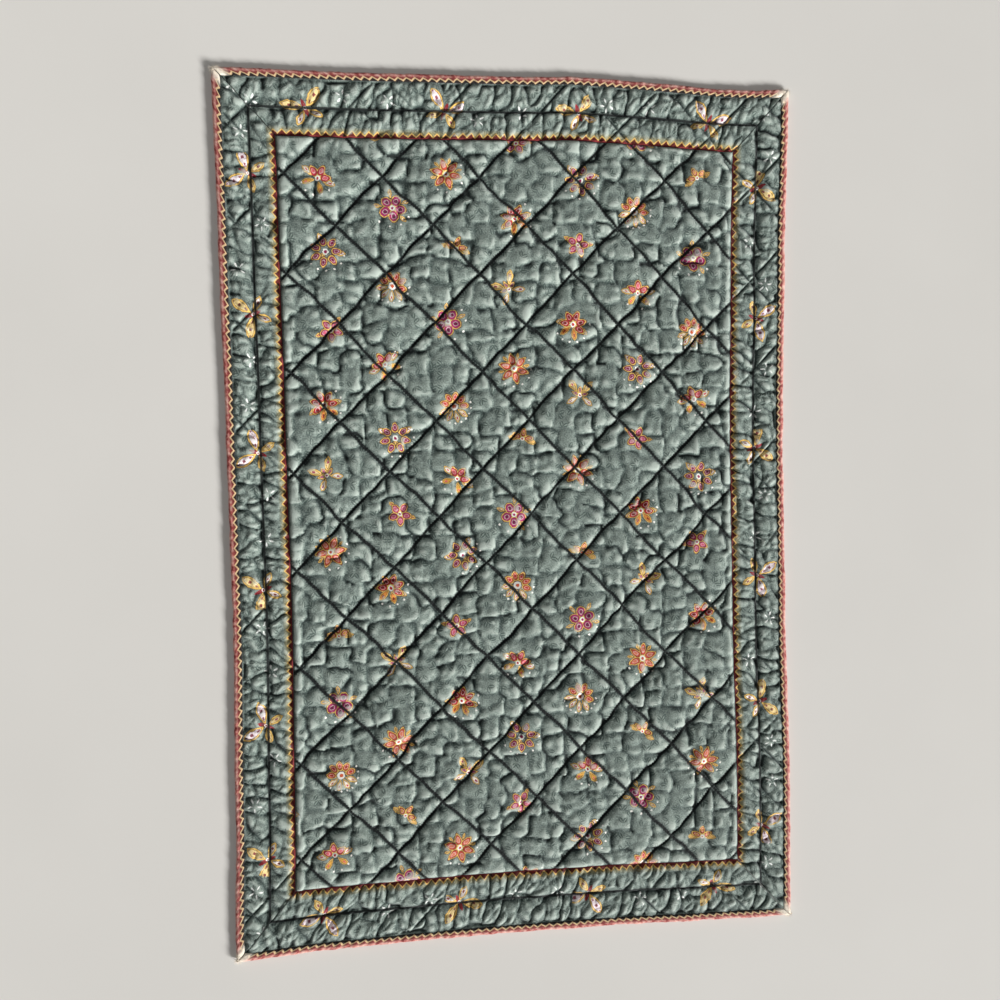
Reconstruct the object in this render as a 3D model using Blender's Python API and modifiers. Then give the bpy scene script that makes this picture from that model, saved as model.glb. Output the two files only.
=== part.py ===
"""Quilted cotton placemat, lying flat: a diamond-quilted centre panel, four mitred border strips with one
sewn channel each, and a folded binding tape round the edge.

Metres, +Z up. The mat rests on z = 0, its long side lies along Y, and the origin is under its middle.
Run it with: blender --background --python part.py
"""

from collections import namedtuple

import bmesh
import bpy
import numpy as np

MM = 0.001

# The mat's outline before its edges pull in, measured from the origin.
HALF_WIDTH = 165.0 * MM
HALF_LENGTH = 249.8 * MM
PIECE_GAP = 0.3 * MM

# The seam between the centre panel and the border.
SEAM_LEFT, SEAM_RIGHT = -132.0 * MM, 131.2 * MM
SEAM_BOTTOM, SEAM_TOP = -213.0 * MM, 213.6 * MM

# Diamond quilting of the centre: two families of straight rows that cross on this lattice.
LATTICE_X, LATTICE_Y = 7.5 * MM, -1.3 * MM
HALF_DIAMOND_X, HALF_DIAMOND_Y = 27.15 * MM, 27.75 * MM
STEPS_PER_HALF_DIAMOND = 4

# Heights above the table.
STITCHED_HEIGHT = 2.2 * MM
DIAMOND_CROWN = 3.0 * MM
BORDER_CROWN = 2.2 * MM
PUFF_SHARPNESS = 0.55
SEAM_ROLL = 7.0 * MM

# Border strips: one row of stitching along the middle, puckers across.
CHANNEL_SHARE = 0.5
PUCKER_SPACING = 10.6 * MM
PUCKER_DEPTH = 0.9 * MM
PUCKER_UNEVENNESS = 0.45
ROLL_STEPS = 4
TUCK_STEPS = 2
TUCK_START = 0.15

# Binding: a tape folded over the raw edge, front to back.
BINDING_WIDTH = 4.8 * MM
TAPE_THICKNESS = 0.7 * MM
EDGE_THICKNESS = 1.8 * MM
RAW_EDGE_INSET = 2.4 * MM
DITCH_GAP = 0.6 * MM
FOLD_STEPS = 3
BINDING_STEP_LENGTH = 22.0 * MM

# How far each edge of the mat lies off its straight line, in mm, towards +X or +Y. Rows run along the edge.
EdgeRow = namedtuple("EdgeRow", "along off")
LEFT_EDGE = [
    EdgeRow(-250.0, 0.0),
    EdgeRow(-160.0, 2.0),
    EdgeRow(-60.0, 3.4),
    EdgeRow(60.0, 2.4),
    EdgeRow(150.0, 1.2),
    EdgeRow(250.0, 0.0),
]
RIGHT_EDGE = [
    EdgeRow(-250.0, 0.0),
    EdgeRow(-170.0, 0.0),
    EdgeRow(-60.0, -2.8),
    EdgeRow(50.0, -4.0),
    EdgeRow(150.0, -2.6),
    EdgeRow(250.0, 0.0),
]
BOTTOM_EDGE = [
    EdgeRow(-165.0, 0.0),
    EdgeRow(-110.0, 2.8),
    EdgeRow(-20.0, 3.8),
    EdgeRow(50.0, 3.2),
    EdgeRow(110.0, 1.4),
    EdgeRow(165.0, 0.0),
]
TOP_EDGE = [
    EdgeRow(-165.0, -2.6),
    EdgeRow(-90.0, -2.8),
    EdgeRow(-45.0, -2.2),
    EdgeRow(5.0, -1.4),
    EdgeRow(38.0, 0.0),
    EdgeRow(72.0, -1.6),
    EdgeRow(135.0, -4.2),
    EdgeRow(165.0, -2.6),
]

MATERIALS = {
    "printed_cotton": ((0.235, 0.30, 0.265, 1.0), 0.9),
    "border_cotton": ((0.27, 0.335, 0.30, 1.0), 0.9),
    "binding_tape": ((0.50, 0.20, 0.16, 1.0), 0.85),
}

Box = namedtuple("Box", "left right bottom top")


def inset(box, by):
    """The box with each side moved in by that much."""
    return Box(box.left + by, box.right - by, box.bottom + by, box.top - by)


MAT = Box(-HALF_WIDTH, HALF_WIDTH, -HALF_LENGTH, HALF_LENGTH)
SEAM = Box(SEAM_LEFT, SEAM_RIGHT, SEAM_BOTTOM, SEAM_TOP)
DITCH = inset(MAT, BINDING_WIDTH)


def eased(rows, along):
    """The edge's offset at each place along it, eased between the table's rows."""
    places = np.array([row.along for row in rows]) * MM
    offs = np.array([row.off for row in rows]) * MM
    along = np.clip(along, places[0], places[-1])
    k = np.clip(np.searchsorted(places, along, side="right") - 1, 0, len(rows) - 2)
    share = (along - places[k]) / (places[k + 1] - places[k])
    share = (1.0 - np.cos(np.pi * share)) / 2.0
    return offs[k] + (offs[k + 1] - offs[k]) * share


def lay(u, v):
    """Where a point of the straight-edged mat lies once its edges have pulled in."""
    across = (u + HALF_WIDTH) / (2.0 * HALF_WIDTH)
    along = (v + HALF_LENGTH) / (2.0 * HALF_LENGTH)
    x = u + eased(LEFT_EDGE, v) * (1.0 - across) + eased(RIGHT_EDGE, v) * across
    y = v + eased(BOTTOM_EDGE, u) * (1.0 - along) + eased(TOP_EDGE, u) * along
    return x, y


def puff(share):
    """Height of the filling between two sewn rows, 0 at share 0 and 1, and 1 half-way."""
    return np.sin(np.pi * np.clip(share, 0.0, 1.0)) ** PUFF_SHARPNESS


def diamond_height(u, v):
    """Top of the centre panel: a crown in each diamond, rolled down to the seam all round."""
    a = (u - LATTICE_X) / HALF_DIAMOND_X + (v - LATTICE_Y) / HALF_DIAMOND_Y
    b = (u - LATTICE_X) / HALF_DIAMOND_X - (v - LATTICE_Y) / HALF_DIAMOND_Y
    to_seam = np.minimum.reduce([u - SEAM.left, SEAM.right - u, v - SEAM.bottom, SEAM.top - v])
    roll = np.sqrt(np.clip(to_seam / SEAM_ROLL, 0.0, 1.0))
    return STITCHED_HEIGHT + DIAMOND_CROWN * puff((a / 2.0) % 1.0) * puff((b / 2.0) % 1.0) * roll


def material(name):
    """The named Principled BSDF material."""
    made = bpy.data.materials.get(name)
    if made is None:
        color, roughness = MATERIALS[name]
        made = bpy.data.materials.new(name)
        made.use_nodes = True
        shader = made.node_tree.nodes["Principled BSDF"]
        shader.inputs["Base Color"].default_value = color
        shader.inputs["Roughness"].default_value = roughness
        shader.inputs["Metallic"].default_value = 0.0
        made.diffuse_color = color
    return made


def new_object(name, mesh_builder, material_name, collection):
    """Turns a bmesh into a named object with its material, in the mat's collection."""
    mesh = bpy.data.meshes.new(name)
    mesh_builder.to_mesh(mesh)
    mesh_builder.free()
    mesh.materials.append(material(material_name))
    obj = bpy.data.objects.new(name, mesh)
    collection.objects.link(obj)
    return obj


def grid_sheet(columns, rows):
    """A flat grid with that many cells, and each vertex's share (0 to 1) across and along."""
    sheet = bmesh.new()
    bmesh.ops.create_grid(sheet, x_segments=columns, y_segments=rows, size=1.0)
    shares = np.array([((vert.co.x + 1.0) / 2.0, (vert.co.y + 1.0) / 2.0) for vert in sheet.verts])
    return sheet, shares[:, 0], shares[:, 1]


def place(verts, x, y, z):
    """Moves the vertices to those coordinates."""
    for vert, co in zip(verts, np.stack([x, y, z], axis=1).tolist()):
        vert.co = co


def filled_solid(name, sheet, x, y, top, base, material_name, collection):
    """A closed solid between the sheet at height top and its copy at height base."""
    upper = list(sheet.verts)
    place(upper, x, y, base)
    made = bmesh.ops.extrude_face_region(sheet, geom=list(sheet.faces))
    raised = [item for item in made["geom"] if isinstance(item, bmesh.types.BMVert)]
    order = {tuple(vert.co): index for index, vert in enumerate(upper)}
    index = np.array([order[tuple(vert.co)] for vert in raised])
    place(raised, x[index], y[index], top[index])
    bmesh.ops.recalc_face_normals(sheet, faces=list(sheet.faces))
    sheet.normal_update()
    under = [face for face in sheet.faces if face.normal.z < -0.99999]
    edges = [edge for edge in sheet.edges if all(face in set(under) for face in edge.link_faces)]
    bmesh.ops.dissolve_edges(sheet, edges=edges, use_verts=True, use_face_split=False)
    return new_object(name, sheet, material_name, collection)


def lattice_lines(low, high, origin, half_diamond):
    """Grid lines from one seam to the other, with the lattice's own steps between."""
    step = half_diamond / STEPS_PER_HALF_DIAMOND
    first = np.ceil((low - origin) / step + 0.5)
    last = np.floor((high - origin) / step - 0.5)
    return np.concatenate([[low], origin + np.arange(first, last + 1.0) * step, [high]])


def centre_panel(collection):
    """The diamond-quilted panel inside the border."""
    panel = inset(SEAM, PIECE_GAP / 2.0)
    across = lattice_lines(panel.left, panel.right, LATTICE_X, HALF_DIAMOND_X)
    along = lattice_lines(panel.bottom, panel.top, LATTICE_Y, HALF_DIAMOND_Y)
    sheet, s, t = grid_sheet(len(across) - 1, len(along) - 1)
    u = across[np.rint(s * (len(across) - 1)).astype(int)]
    v = along[np.rint(t * (len(along) - 1)).astype(int)]
    x, y = lay(u, v)
    return filled_solid(
        "centre_panel", sheet, x, y, diamond_height(u, v), np.zeros_like(x), "printed_cotton", collection
    )


def side_corners(box, side):
    """The two ends of one side of a box, going round anticlockwise."""
    corners = {
        "bottom": ((box.left, box.bottom), (box.right, box.bottom)),
        "right": ((box.right, box.bottom), (box.right, box.top)),
        "top": ((box.right, box.top), (box.left, box.top)),
        "left": ((box.left, box.top), (box.left, box.bottom)),
    }
    return np.array(corners[side])


def mitred(inner, outer, side, share_out, share_along):
    """A point of the mitred strip between two boxes, with half the piece gap left at each mitre."""
    ends = [side_corners(box, side) for box in (inner, outer)]
    start = ends[0][0] + (ends[1][0] - ends[0][0]) * share_out[:, None]
    finish = ends[0][1] + (ends[1][1] - ends[0][1]) * share_out[:, None]
    margin = PIECE_GAP / np.linalg.norm(finish - start, axis=1)
    place_along = margin + share_along * (1.0 - 2.0 * margin)
    points = start + (finish - start) * place_along[:, None]
    return points[:, 0], points[:, 1]


def strip_height(roll_share, row):
    """Top of a border strip: a roll each side of its channel, every other row sunk into a pucker."""
    in_roll = np.where(roll_share < CHANNEL_SHARE, roll_share, roll_share - CHANNEL_SHARE) / CHANNEL_SHARE
    unevenness = PUCKER_UNEVENNESS * np.sin(2.3 * row + 5.0 * np.rint(roll_share))
    pucker = PUCKER_DEPTH * (row % 2) * (1.0 + unevenness)
    return STITCHED_HEIGHT + (BORDER_CROWN - pucker) * puff(in_roll)


def border_strip(side, collection):
    """One mitred border strip: two puckered rolls, and a thin outer edge that goes into the binding."""
    start, finish = side_corners(SEAM, side)
    rows = round(float(np.linalg.norm(finish - start)) / PUCKER_SPACING)
    columns = ROLL_STEPS + TUCK_STEPS
    sheet, s, t = grid_sheet(columns, rows)
    column = np.rint(s * columns).astype(int)
    row = np.rint(t * rows).astype(int)
    roll_share = np.clip(column / ROLL_STEPS, 0.0, 1.0)
    seam = inset(SEAM, -PIECE_GAP / 2.0)
    ditch = inset(DITCH, DITCH_GAP)
    raw_edge = inset(MAT, RAW_EDGE_INSET)
    u, v = mitred(seam, ditch, side, roll_share, t)
    u_edge, v_edge = mitred(seam, raw_edge, side, np.ones_like(s), t)
    tucked = column > ROLL_STEPS
    to_edge = tucked * np.where(column == columns, 1.0, TUCK_START)
    x, y = lay(u + (u_edge - u) * to_edge, v + (v_edge - v) * to_edge)
    edge_base = TAPE_THICKNESS + PIECE_GAP
    top = np.where(column >= ROLL_STEPS, edge_base + EDGE_THICKNESS, strip_height(roll_share, row))
    base = np.where(tucked, edge_base, 0.0)
    return filled_solid(f"border_{side}", sheet, x, y, top, base, "border_cotton", collection)


def binding_strip(side, collection):
    """One side of the binding: a tape folded round the border's thin edge, mitred at both corners."""
    start, finish = side_corners(MAT, side)
    rows = round(float(np.linalg.norm(finish - start)) / BINDING_STEP_LENGTH)
    columns = FOLD_STEPS + 2
    sheet, s, t = grid_sheet(columns, rows)
    column = np.rint(s * columns).astype(int)
    fold_radius = (EDGE_THICKNESS + 2.0 * PIECE_GAP) / 2.0
    turn = np.pi * np.clip((column - 1) / FOLD_STEPS, 0.0, 1.0)
    fold_start = BINDING_WIDTH - TAPE_THICKNESS - fold_radius
    on_leg = (column == 0) | (column == columns)
    out = np.where(on_leg, 0.0, fold_start + np.sin(turn) * fold_radius) / BINDING_WIDTH
    u, v = mitred(DITCH, MAT, side, out, t)
    x, y = lay(u, v)
    place(sheet.verts, x, y, TAPE_THICKNESS + fold_radius * (1.0 + np.cos(turn)))
    bmesh.ops.recalc_face_normals(sheet, faces=list(sheet.faces))
    obj = new_object(f"binding_{side}", sheet, "binding_tape", collection)
    tape = obj.modifiers.new("tape", "SOLIDIFY")
    tape.thickness = TAPE_THICKNESS
    tape.offset = outward_offset(obj)
    return obj


def outward_offset(obj):
    """Solidify's offset that thickens the open tape away from the cloth that it wraps."""
    top_face = max(obj.data.polygons, key=lambda face: face.center.z)
    return 1.0 if top_face.normal.z > 0.0 else -1.0


def main():
    """Builds the mat's nine pieces."""
    for old in list(bpy.data.objects):
        bpy.data.objects.remove(old)
    collection = bpy.data.collections.new("quilted_placemat")
    bpy.context.scene.collection.children.link(collection)
    centre_panel(collection)
    for side in ("top", "right", "bottom", "left"):
        border_strip(side, collection)
        binding_strip(side, collection)


main()
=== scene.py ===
"""The looks of a quilted cotton placemat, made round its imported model.

The centre panel, the four mitred border strips and the four sides of the folded binding are closed surfaces
worked out with numpy from flat coordinates: u and v run across and along the mat before its edges pull in.
Sizes are metres, and MM turns millimetres into metres.
"""

import logging
import math
from dataclasses import dataclass, field
from enum import Enum

import bpy
import numpy as np
from numpy.typing import NDArray
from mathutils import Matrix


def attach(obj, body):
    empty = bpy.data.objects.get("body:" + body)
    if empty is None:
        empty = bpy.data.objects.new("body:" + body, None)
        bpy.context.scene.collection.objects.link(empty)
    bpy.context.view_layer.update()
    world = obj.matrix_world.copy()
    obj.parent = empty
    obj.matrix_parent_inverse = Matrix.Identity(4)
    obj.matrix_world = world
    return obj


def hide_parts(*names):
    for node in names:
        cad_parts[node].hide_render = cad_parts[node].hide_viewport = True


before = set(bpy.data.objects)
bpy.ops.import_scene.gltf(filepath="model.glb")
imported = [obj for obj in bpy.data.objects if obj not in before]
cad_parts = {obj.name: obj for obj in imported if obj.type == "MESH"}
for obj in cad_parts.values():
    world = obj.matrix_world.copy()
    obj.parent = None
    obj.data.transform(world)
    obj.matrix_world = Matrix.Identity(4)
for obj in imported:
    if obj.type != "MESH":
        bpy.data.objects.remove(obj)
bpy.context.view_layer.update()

Array = NDArray[np.float64]
Colour = tuple[float, float, float]
log = logging.getLogger("placemat")

MM = 0.001

# Flat sizes, as the pieces were cut and sewn.
PIECE_GAP = 0.3 * MM
BINDING_WIDTH = 4.8 * MM
TAPE_THICKNESS = 0.5 * MM

# Heights above the table.
STITCHED_HEIGHT = 1.5 * MM
LOWEST_FOLD = 0.6 * MM
PANEL_CROWN = 3.7 * MM
BORDER_CROWN = 3.0 * MM
DITCH_HEIGHT = 1.9 * MM
RAW_EDGE_BASE = 1.0 * MM
RAW_EDGE_TOP = 2.2 * MM
BINDING_HEIGHT = 3.5 * MM


def linear(code: str) -> Colour:
    """Turns an sRGB colour code into linear red, green and blue.

    Args:
        code: the colour as "#rrggbb".

    Returns:
        The three linear values, 0 to 1.
    """
    parts = [int(code[i : i + 2], 16) / 255.0 for i in (1, 3, 5)]
    return tuple(c / 12.92 if c <= 0.04045 else ((c + 0.055) / 1.055) ** 2.4 for c in parts)


# ---------------------------------------------------------------------------------------------------------
# Flat layout
# ---------------------------------------------------------------------------------------------------------


class Side(Enum):
    """The mat's four sides, anticlockwise."""

    BOTTOM = "bottom"
    RIGHT = "right"
    TOP = "top"
    LEFT = "left"


@dataclass(frozen=True)
class Box:
    """A straight-sided rectangle in flat coordinates."""

    left: float
    right: float
    bottom: float
    top: float

    def inset(self, by: float) -> "Box":
        """The box with each side moved in by that much."""
        return Box(self.left + by, self.right - by, self.bottom + by, self.top - by)

    def side_ends(self, side: Side) -> Array:
        """The two ends of one side, going round anticlockwise, as a 2 by 2 array."""
        corners = {
            Side.BOTTOM: ((self.left, self.bottom), (self.right, self.bottom)),
            Side.RIGHT: ((self.right, self.bottom), (self.right, self.top)),
            Side.TOP: ((self.right, self.top), (self.left, self.top)),
            Side.LEFT: ((self.left, self.top), (self.left, self.bottom)),
        }
        return np.array(corners[side])

    def inside(self, u: Array, v: Array) -> Array:
        """Distance in from the nearest side, negative outside."""
        return np.minimum.reduce([u - self.left, self.right - u, v - self.bottom, self.top - v])


MAT = Box(-165.0 * MM, 165.0 * MM, -249.8 * MM, 249.8 * MM)
SEAM = Box(-132.0 * MM, 131.2 * MM, -213.0 * MM, 213.6 * MM)
DITCH = MAT.inset(BINDING_WIDTH)


@dataclass
class EdgeLine:
    """How far one edge of the mat lies off its straight line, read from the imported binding."""

    side: Side
    along: Array = field(init=False)
    off: Array = field(init=False)

    ROW_GAP = 3.0 * MM
    STEP = 2.0 * MM
    SMOOTHING = 11
    FOLD_LOW = 0.9 * MM
    FOLD_HIGH = 3.0 * MM
    FACET_DEPTH = 0.25 * MM

    def __post_init__(self) -> None:
        """Takes the outermost point of each row of the fold, and smooths the line through them."""
        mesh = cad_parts[f"binding_{self.side.value}"].data
        points = np.empty(len(mesh.vertices) * 3)
        mesh.vertices.foreach_get("co", points)
        points = points.reshape(-1, 3)
        points = points[(points[:, 2] > self.FOLD_LOW) & (points[:, 2] < self.FOLD_HIGH)]
        upright = self.side in (Side.LEFT, Side.RIGHT)
        along = points[:, 1] if upright else points[:, 0]
        sign = 1.0 if self.side in (Side.RIGHT, Side.TOP) else -1.0
        out = sign * (points[:, 0] if upright else points[:, 1])
        order = np.argsort(along)
        along, out = along[order], out[order]
        row = np.concatenate([[0], np.cumsum(np.diff(along) > self.ROW_GAP)])
        order = np.lexsort((out, row))
        outermost = order[np.append(np.diff(row[order]) > 0, True)]
        straight = MAT.right if upright else MAT.top
        places, offs = along[outermost], sign * (out[outermost] + self.FACET_DEPTH - straight)
        self.along = np.arange(places[0], places[-1], self.STEP)
        kernel = np.hanning(self.SMOOTHING + 2)[1:-1]
        padded = np.pad(np.interp(self.along, places, offs), self.SMOOTHING // 2, mode="edge")
        self.off = np.convolve(padded, kernel / kernel.sum(), mode="valid")

    def at(self, along: Array) -> Array:
        """The offset at each place along the edge, towards +X or +Y."""
        return np.interp(along, self.along, self.off)


class Lay:
    """Where a point of the straight-edged mat lies once its edges have pulled in."""

    def __init__(self) -> None:
        """Reads the four edges."""
        self.edges = {side: EdgeLine(side) for side in Side}

    def __call__(self, u: Array, v: Array) -> tuple[Array, Array]:
        """Blends the offsets of opposite edges by how near each of them is.

        Args:
            u: flat coordinate across the mat.
            v: flat coordinate along the mat.

        Returns:
            The lying x and y.
        """
        across = (u - MAT.left) / (MAT.right - MAT.left)
        along = (v - MAT.bottom) / (MAT.top - MAT.bottom)
        left, right = self.edges[Side.LEFT].at(v), self.edges[Side.RIGHT].at(v)
        bottom, top = self.edges[Side.BOTTOM].at(u), self.edges[Side.TOP].at(u)
        return u + left * (1.0 - across) + right * across, v + bottom * (1.0 - along) + top * along


def mitred(inner: Box, outer: Box, side: Side, out: Array, along: Array) -> tuple[Array, Array]:
    """A point of the mitred strip between two boxes, with half the piece gap left at each mitre.

    Each line of equal "out" runs from mitre to mitre, and "along" is the share of the way along it.

    Args:
        inner: the box at out 0.
        outer: the box at out 1.
        side: the side of the mat.
        out: share of the way from the inner box to the outer one.
        along: share of the way along the side, anticlockwise.

    Returns:
        The flat coordinates u and v.
    """
    ends = [box.side_ends(side) for box in (inner, outer)]
    start = ends[0][0] + (ends[1][0] - ends[0][0]) * out[..., None]
    finish = ends[0][1] + (ends[1][1] - ends[0][1]) * out[..., None]
    margin = PIECE_GAP / np.linalg.norm(finish - start, axis=-1)
    share = margin + along * (1.0 - 2.0 * margin)
    points = start + (finish - start) * share[..., None]
    return points[..., 0], points[..., 1]


# ---------------------------------------------------------------------------------------------------------
# Relief
# ---------------------------------------------------------------------------------------------------------


@dataclass
class Unevenness:
    """Smooth noise on a plane, from -1 to 1, with its own seed."""

    seed: int
    table: Array = field(init=False)

    def __post_init__(self) -> None:
        """Draws the table of values at whole coordinates."""
        self.table = np.random.default_rng(self.seed).uniform(-1.0, 1.0, (256, 256))

    def at(self, x: Array, y: Array, size: float) -> Array:
        """Noise with lumps of that size: the table's values, blended by a quintic ease between them."""
        x, y = x / size, y / size
        column, row = np.floor(x).astype(int), np.floor(y).astype(int)
        fx, fy = x - column, y - row
        fx = fx**3 * (fx * (6.0 * fx - 15.0) + 10.0)
        fy = fy**3 * (fy * (6.0 * fy - 15.0) + 10.0)
        near = [[self.table[(row + j) % 256, (column + i) % 256] for i in (0, 1)] for j in (0, 1)]
        low = near[0][0] * (1.0 - fx) + near[0][1] * fx
        high = near[1][0] * (1.0 - fx) + near[1][1] * fx
        return low * (1.0 - fy) + high * fy


def rounded(distance: Array, radius: float, sharpness: float = 2.0) -> Array:
    """Rises from 0 at an edge to 1 at the radius, along a superellipse's quarter."""
    share = np.clip(distance / radius, 0.0, 1.0)
    return (1.0 - (1.0 - share) ** sharpness) ** (1.0 / sharpness)


def trough(distance: Array, width: float) -> Array:
    """A soft valley: 1 on its line, and falling off as the exponential of distance to the power 1.35."""
    return np.exp(-((np.abs(distance) / width) ** 1.35))


def soft_min(a: Array, b: Array, reach: float) -> Array:
    """The smaller of two values, with the corner between them rounded off over that reach."""
    share = np.clip(0.5 + 0.5 * (b - a) / reach, 0.0, 1.0)
    return b * (1.0 - share) + a * share - reach * share * (1.0 - share)


def blurred(values: Array, reach: int) -> Array:
    """The values averaged over a square of about that many steps each way, twice over."""
    for _ in range(2):
        for axis in (0, 1):
            width = [(reach + 1, reach) if k == axis else (0, 0) for k in (0, 1)]
            total = np.cumsum(np.pad(values, width, mode="edge"), axis=axis)
            high = np.take(total, range(2 * reach + 1, total.shape[axis]), axis=axis)
            low = np.take(total, range(0, total.shape[axis] - 2 * reach - 1), axis=axis)
            values = (high - low) / (2 * reach + 1)
    return values


@dataclass
class Lattice:
    """Diamond quilting: two families of nearly straight rows of stitching that cross on a lattice."""

    u: float = 7.5 * MM
    v: float = -1.3 * MM
    half_u: float = 27.15 * MM
    half_v: float = 27.75 * MM
    steps: int = 24
    wander: float = 1.1 * MM
    drift: Unevenness = field(default_factory=lambda: Unevenness(31))
    shake: Unevenness = field(default_factory=lambda: Unevenness(32))

    @property
    def spacing(self) -> float:
        """Distance between neighbouring rows of one family."""
        return 2.0 * self.half_u * self.half_v / math.hypot(self.half_u, self.half_v)

    def counts(self, u: Array, v: Array) -> tuple[Array, Array]:
        """The two families' counts, which are even whole numbers on their rows."""
        across, along = (u - self.u) / self.half_u, (v - self.v) / self.half_v
        return across + along, across - along

    def distances(self, u: Array, v: Array) -> tuple[Array, Array]:
        """Distance to the nearest row of each family: its count's distance to an even number, scaled."""
        near = [np.abs((count / 2.0 + 0.5) % 1.0 - 0.5) for count in self.counts(u, v)]
        return near[0] * self.spacing, near[1] * self.spacing

    def wandered(self, u: Array, v: Array) -> tuple[Array, Array]:
        """Moves points sideways a little, so that the sewn rows that pass through them aren't ruled."""
        fade = np.clip(SEAM.inside(u, v) / (8.0 * MM), 0.0, 1.0)
        du = self.drift.at(u, v, 24.0 * MM) + 0.55 * self.shake.at(u, v, 6.5 * MM)
        dv = self.drift.at(v, u, 21.0 * MM) + 0.55 * self.shake.at(v, u, 6.5 * MM)
        return u + du * fade * self.wander, v + dv * fade * self.wander

    def grid_lines(self, low: float, high: float, origin: float, half: float) -> Array:
        """Grid lines from one seam to the other, with the lattice's own even steps between."""
        step = half / self.steps
        first, last = math.ceil((low - origin) / step + 0.5), math.floor((high - origin) / step - 0.5)
        return np.concatenate([[low], origin + np.arange(first, last + 1) * step, [high]])


@dataclass
class Scatter:
    """A plane cut into uneven blocks: a jittered point in each unit square, and the ground nearest to it."""

    seed: int
    jitter: float = 0.62
    squareness: float = 7.0
    table: Array = field(init=False)

    def __post_init__(self) -> None:
        """Draws the table of chances."""
        self.table = np.random.default_rng(self.seed).uniform(0.0, 1.0, 997)

    def borders(self, x: Array, y: Array) -> tuple[Array, Array, Array]:
        """Distance to the nearest border between blocks, a chance that is each border's own, and a lean.

        A distance is a high root of the sum of high powers, which makes the blocks squarish. Half the
        difference between the two nearest points' distances is the distance to the border. The lean grows
        from each block's upper left to its lower right.
        """
        column, row = np.floor(x).astype(int), np.floor(y).astype(int)
        first, second = np.full(x.shape, 9.0), np.full(x.shape, 9.0)
        nearest, other = np.zeros(x.shape, dtype=int), np.zeros(x.shape, dtype=int)
        lean = np.zeros(x.shape)
        for j in (-1, 0, 1):
            for i in (-1, 0, 1):
                number = ((column + i) * 57 + (row + j) * 131) % 997
                right = x - column - i - 0.5 - self.jitter * (self.table[number] - 0.5)
                up = y - row - j - 0.5 - self.jitter * (self.table[(number + 311) % 997] - 0.5)
                power = self.squareness
                gap = (np.abs(right) ** power + np.abs(up) ** power) ** (1.0 / power)
                closer = gap < first
                other = np.where(closer, nearest, np.where(gap < second, number, other))
                second = np.where(closer, first, np.minimum(second, gap))
                nearest = np.where(closer, number, nearest)
                lean = np.where(closer, right - up, lean)
                first = np.minimum(first, gap)
        return (second - first) / 2.0, self.table[(nearest * 7 + other * 7) % 997], lean


@dataclass
class Crinkle:
    """The crinkles of washed quilting: blocks of cloth about a centimetre across, between soft troughs."""

    wide: float = 12.5 * MM
    high: float = 12.0 * MM
    crease: float = 2.6 * MM
    tilt: float = 0.075
    seed: int = 5
    share_small: float = 0.3

    def __post_init__(self) -> None:
        """Draws the noise that bends the troughs and fades them."""
        self.warps = [Unevenness(self.seed * 10 + k) for k in range(4)]
        self.large = Scatter(self.seed + 400)
        self.small = Scatter(self.seed + 500)

    def blocks(
        self, scatter: Scatter, u: Array, v: Array, near: Array, wide: float, high: float
    ) -> tuple[Array, Array]:
        """How deep the troughs are, 0 to 1, between blocks of that size, and how far each block leans.

        "near" is the distance to the nearest row of stitching, and the troughs open into wedges towards it.
        """
        bend, shake, turn, fade = self.warps
        slid = u + 1.9 * MM * turn.at(u, v, 17.0 * MM) + 0.7 * MM * shake.at(v, u, 4.5 * MM)
        lifted = v + 1.9 * MM * bend.at(u, v, 18.0 * MM) + 0.7 * MM * shake.at(u, v, 4.5 * MM)
        gap, chance, lean = scatter.borders(slid / wide, lifted / high)
        gap = gap * (wide + high) / 2.0
        deep = np.clip((0.2 + 1.0 * chance) * (0.95 + 0.45 * fade.at(u, v, 15.0 * MM)), 0.0, 1.0)
        deep = deep * (0.68 + 0.5 * np.exp(-near / (5.0 * MM)))
        open_by = 0.72 + 0.55 * np.exp(-near / (2.6 * MM))
        lean = lean * np.clip(gap / (0.9 * MM), 0.0, 1.0) * (wide + high) / 2.0 * self.tilt
        valley = 0.68 * trough(gap / open_by, 1.0 * MM) + 0.32 * trough(gap, 2.3 * MM)
        return deep * valley, lean * (0.4 + 0.6 * deep)

    def pressed(self, u: Array, v: Array, near: Array) -> Array:
        """How far the cloth goes down: large blocks, with some smaller ones inside them."""
        large, lean = self.blocks(self.large, u, v, near, self.wide, self.high)
        small, small_lean = self.blocks(self.small, u, v, near, self.wide * 0.55, self.high * 0.55)
        depth = np.clip(large + self.share_small * small * (1.0 - large), 0.0, 1.0)
        return self.crease * depth - lean - small_lean * 0.6


# ---------------------------------------------------------------------------------------------------------
# Meshes
# ---------------------------------------------------------------------------------------------------------


def grid_quads(rows: int, columns: int, closed: bool) -> Array:
    """Corner numbers of the quads of a grid whose points are numbered along each row.

    Args:
        rows: how many rows of points.
        columns: how many points in each row.
        closed: whether the last column joins on to the first.

    Returns:
        The quads, one row each.
    """
    number = np.arange(rows * columns).reshape(rows, columns)
    if closed:
        number = np.concatenate([number, number[:, :1]], axis=1)
    corners = [number[:-1, :-1], number[:-1, 1:], number[1:, 1:], number[1:, :-1]]
    return np.stack(corners, axis=-1).reshape(-1, 4)


def cut_along_valleys(quads: Array, z: Array) -> Array:
    """Cuts each quad into two triangles along its lower diagonal, which keeps slanting grooves clean."""
    heights = z[quads]
    first = heights[:, 0] + heights[:, 2] <= heights[:, 1] + heights[:, 3]
    turned = np.where(first[:, None], quads, np.roll(quads, -1, axis=1))
    return np.concatenate([turned[:, [0, 1, 2]], turned[:, [0, 2, 3]]])


def signed_volume(points: Array, triangles: Array) -> float:
    """Volume inside the triangles: positive where they face out."""
    a, b, c = (points[triangles[:, k]] for k in range(3))
    return float(np.einsum("ij,ij->", a, np.cross(b, c)) / 6.0)


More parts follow.
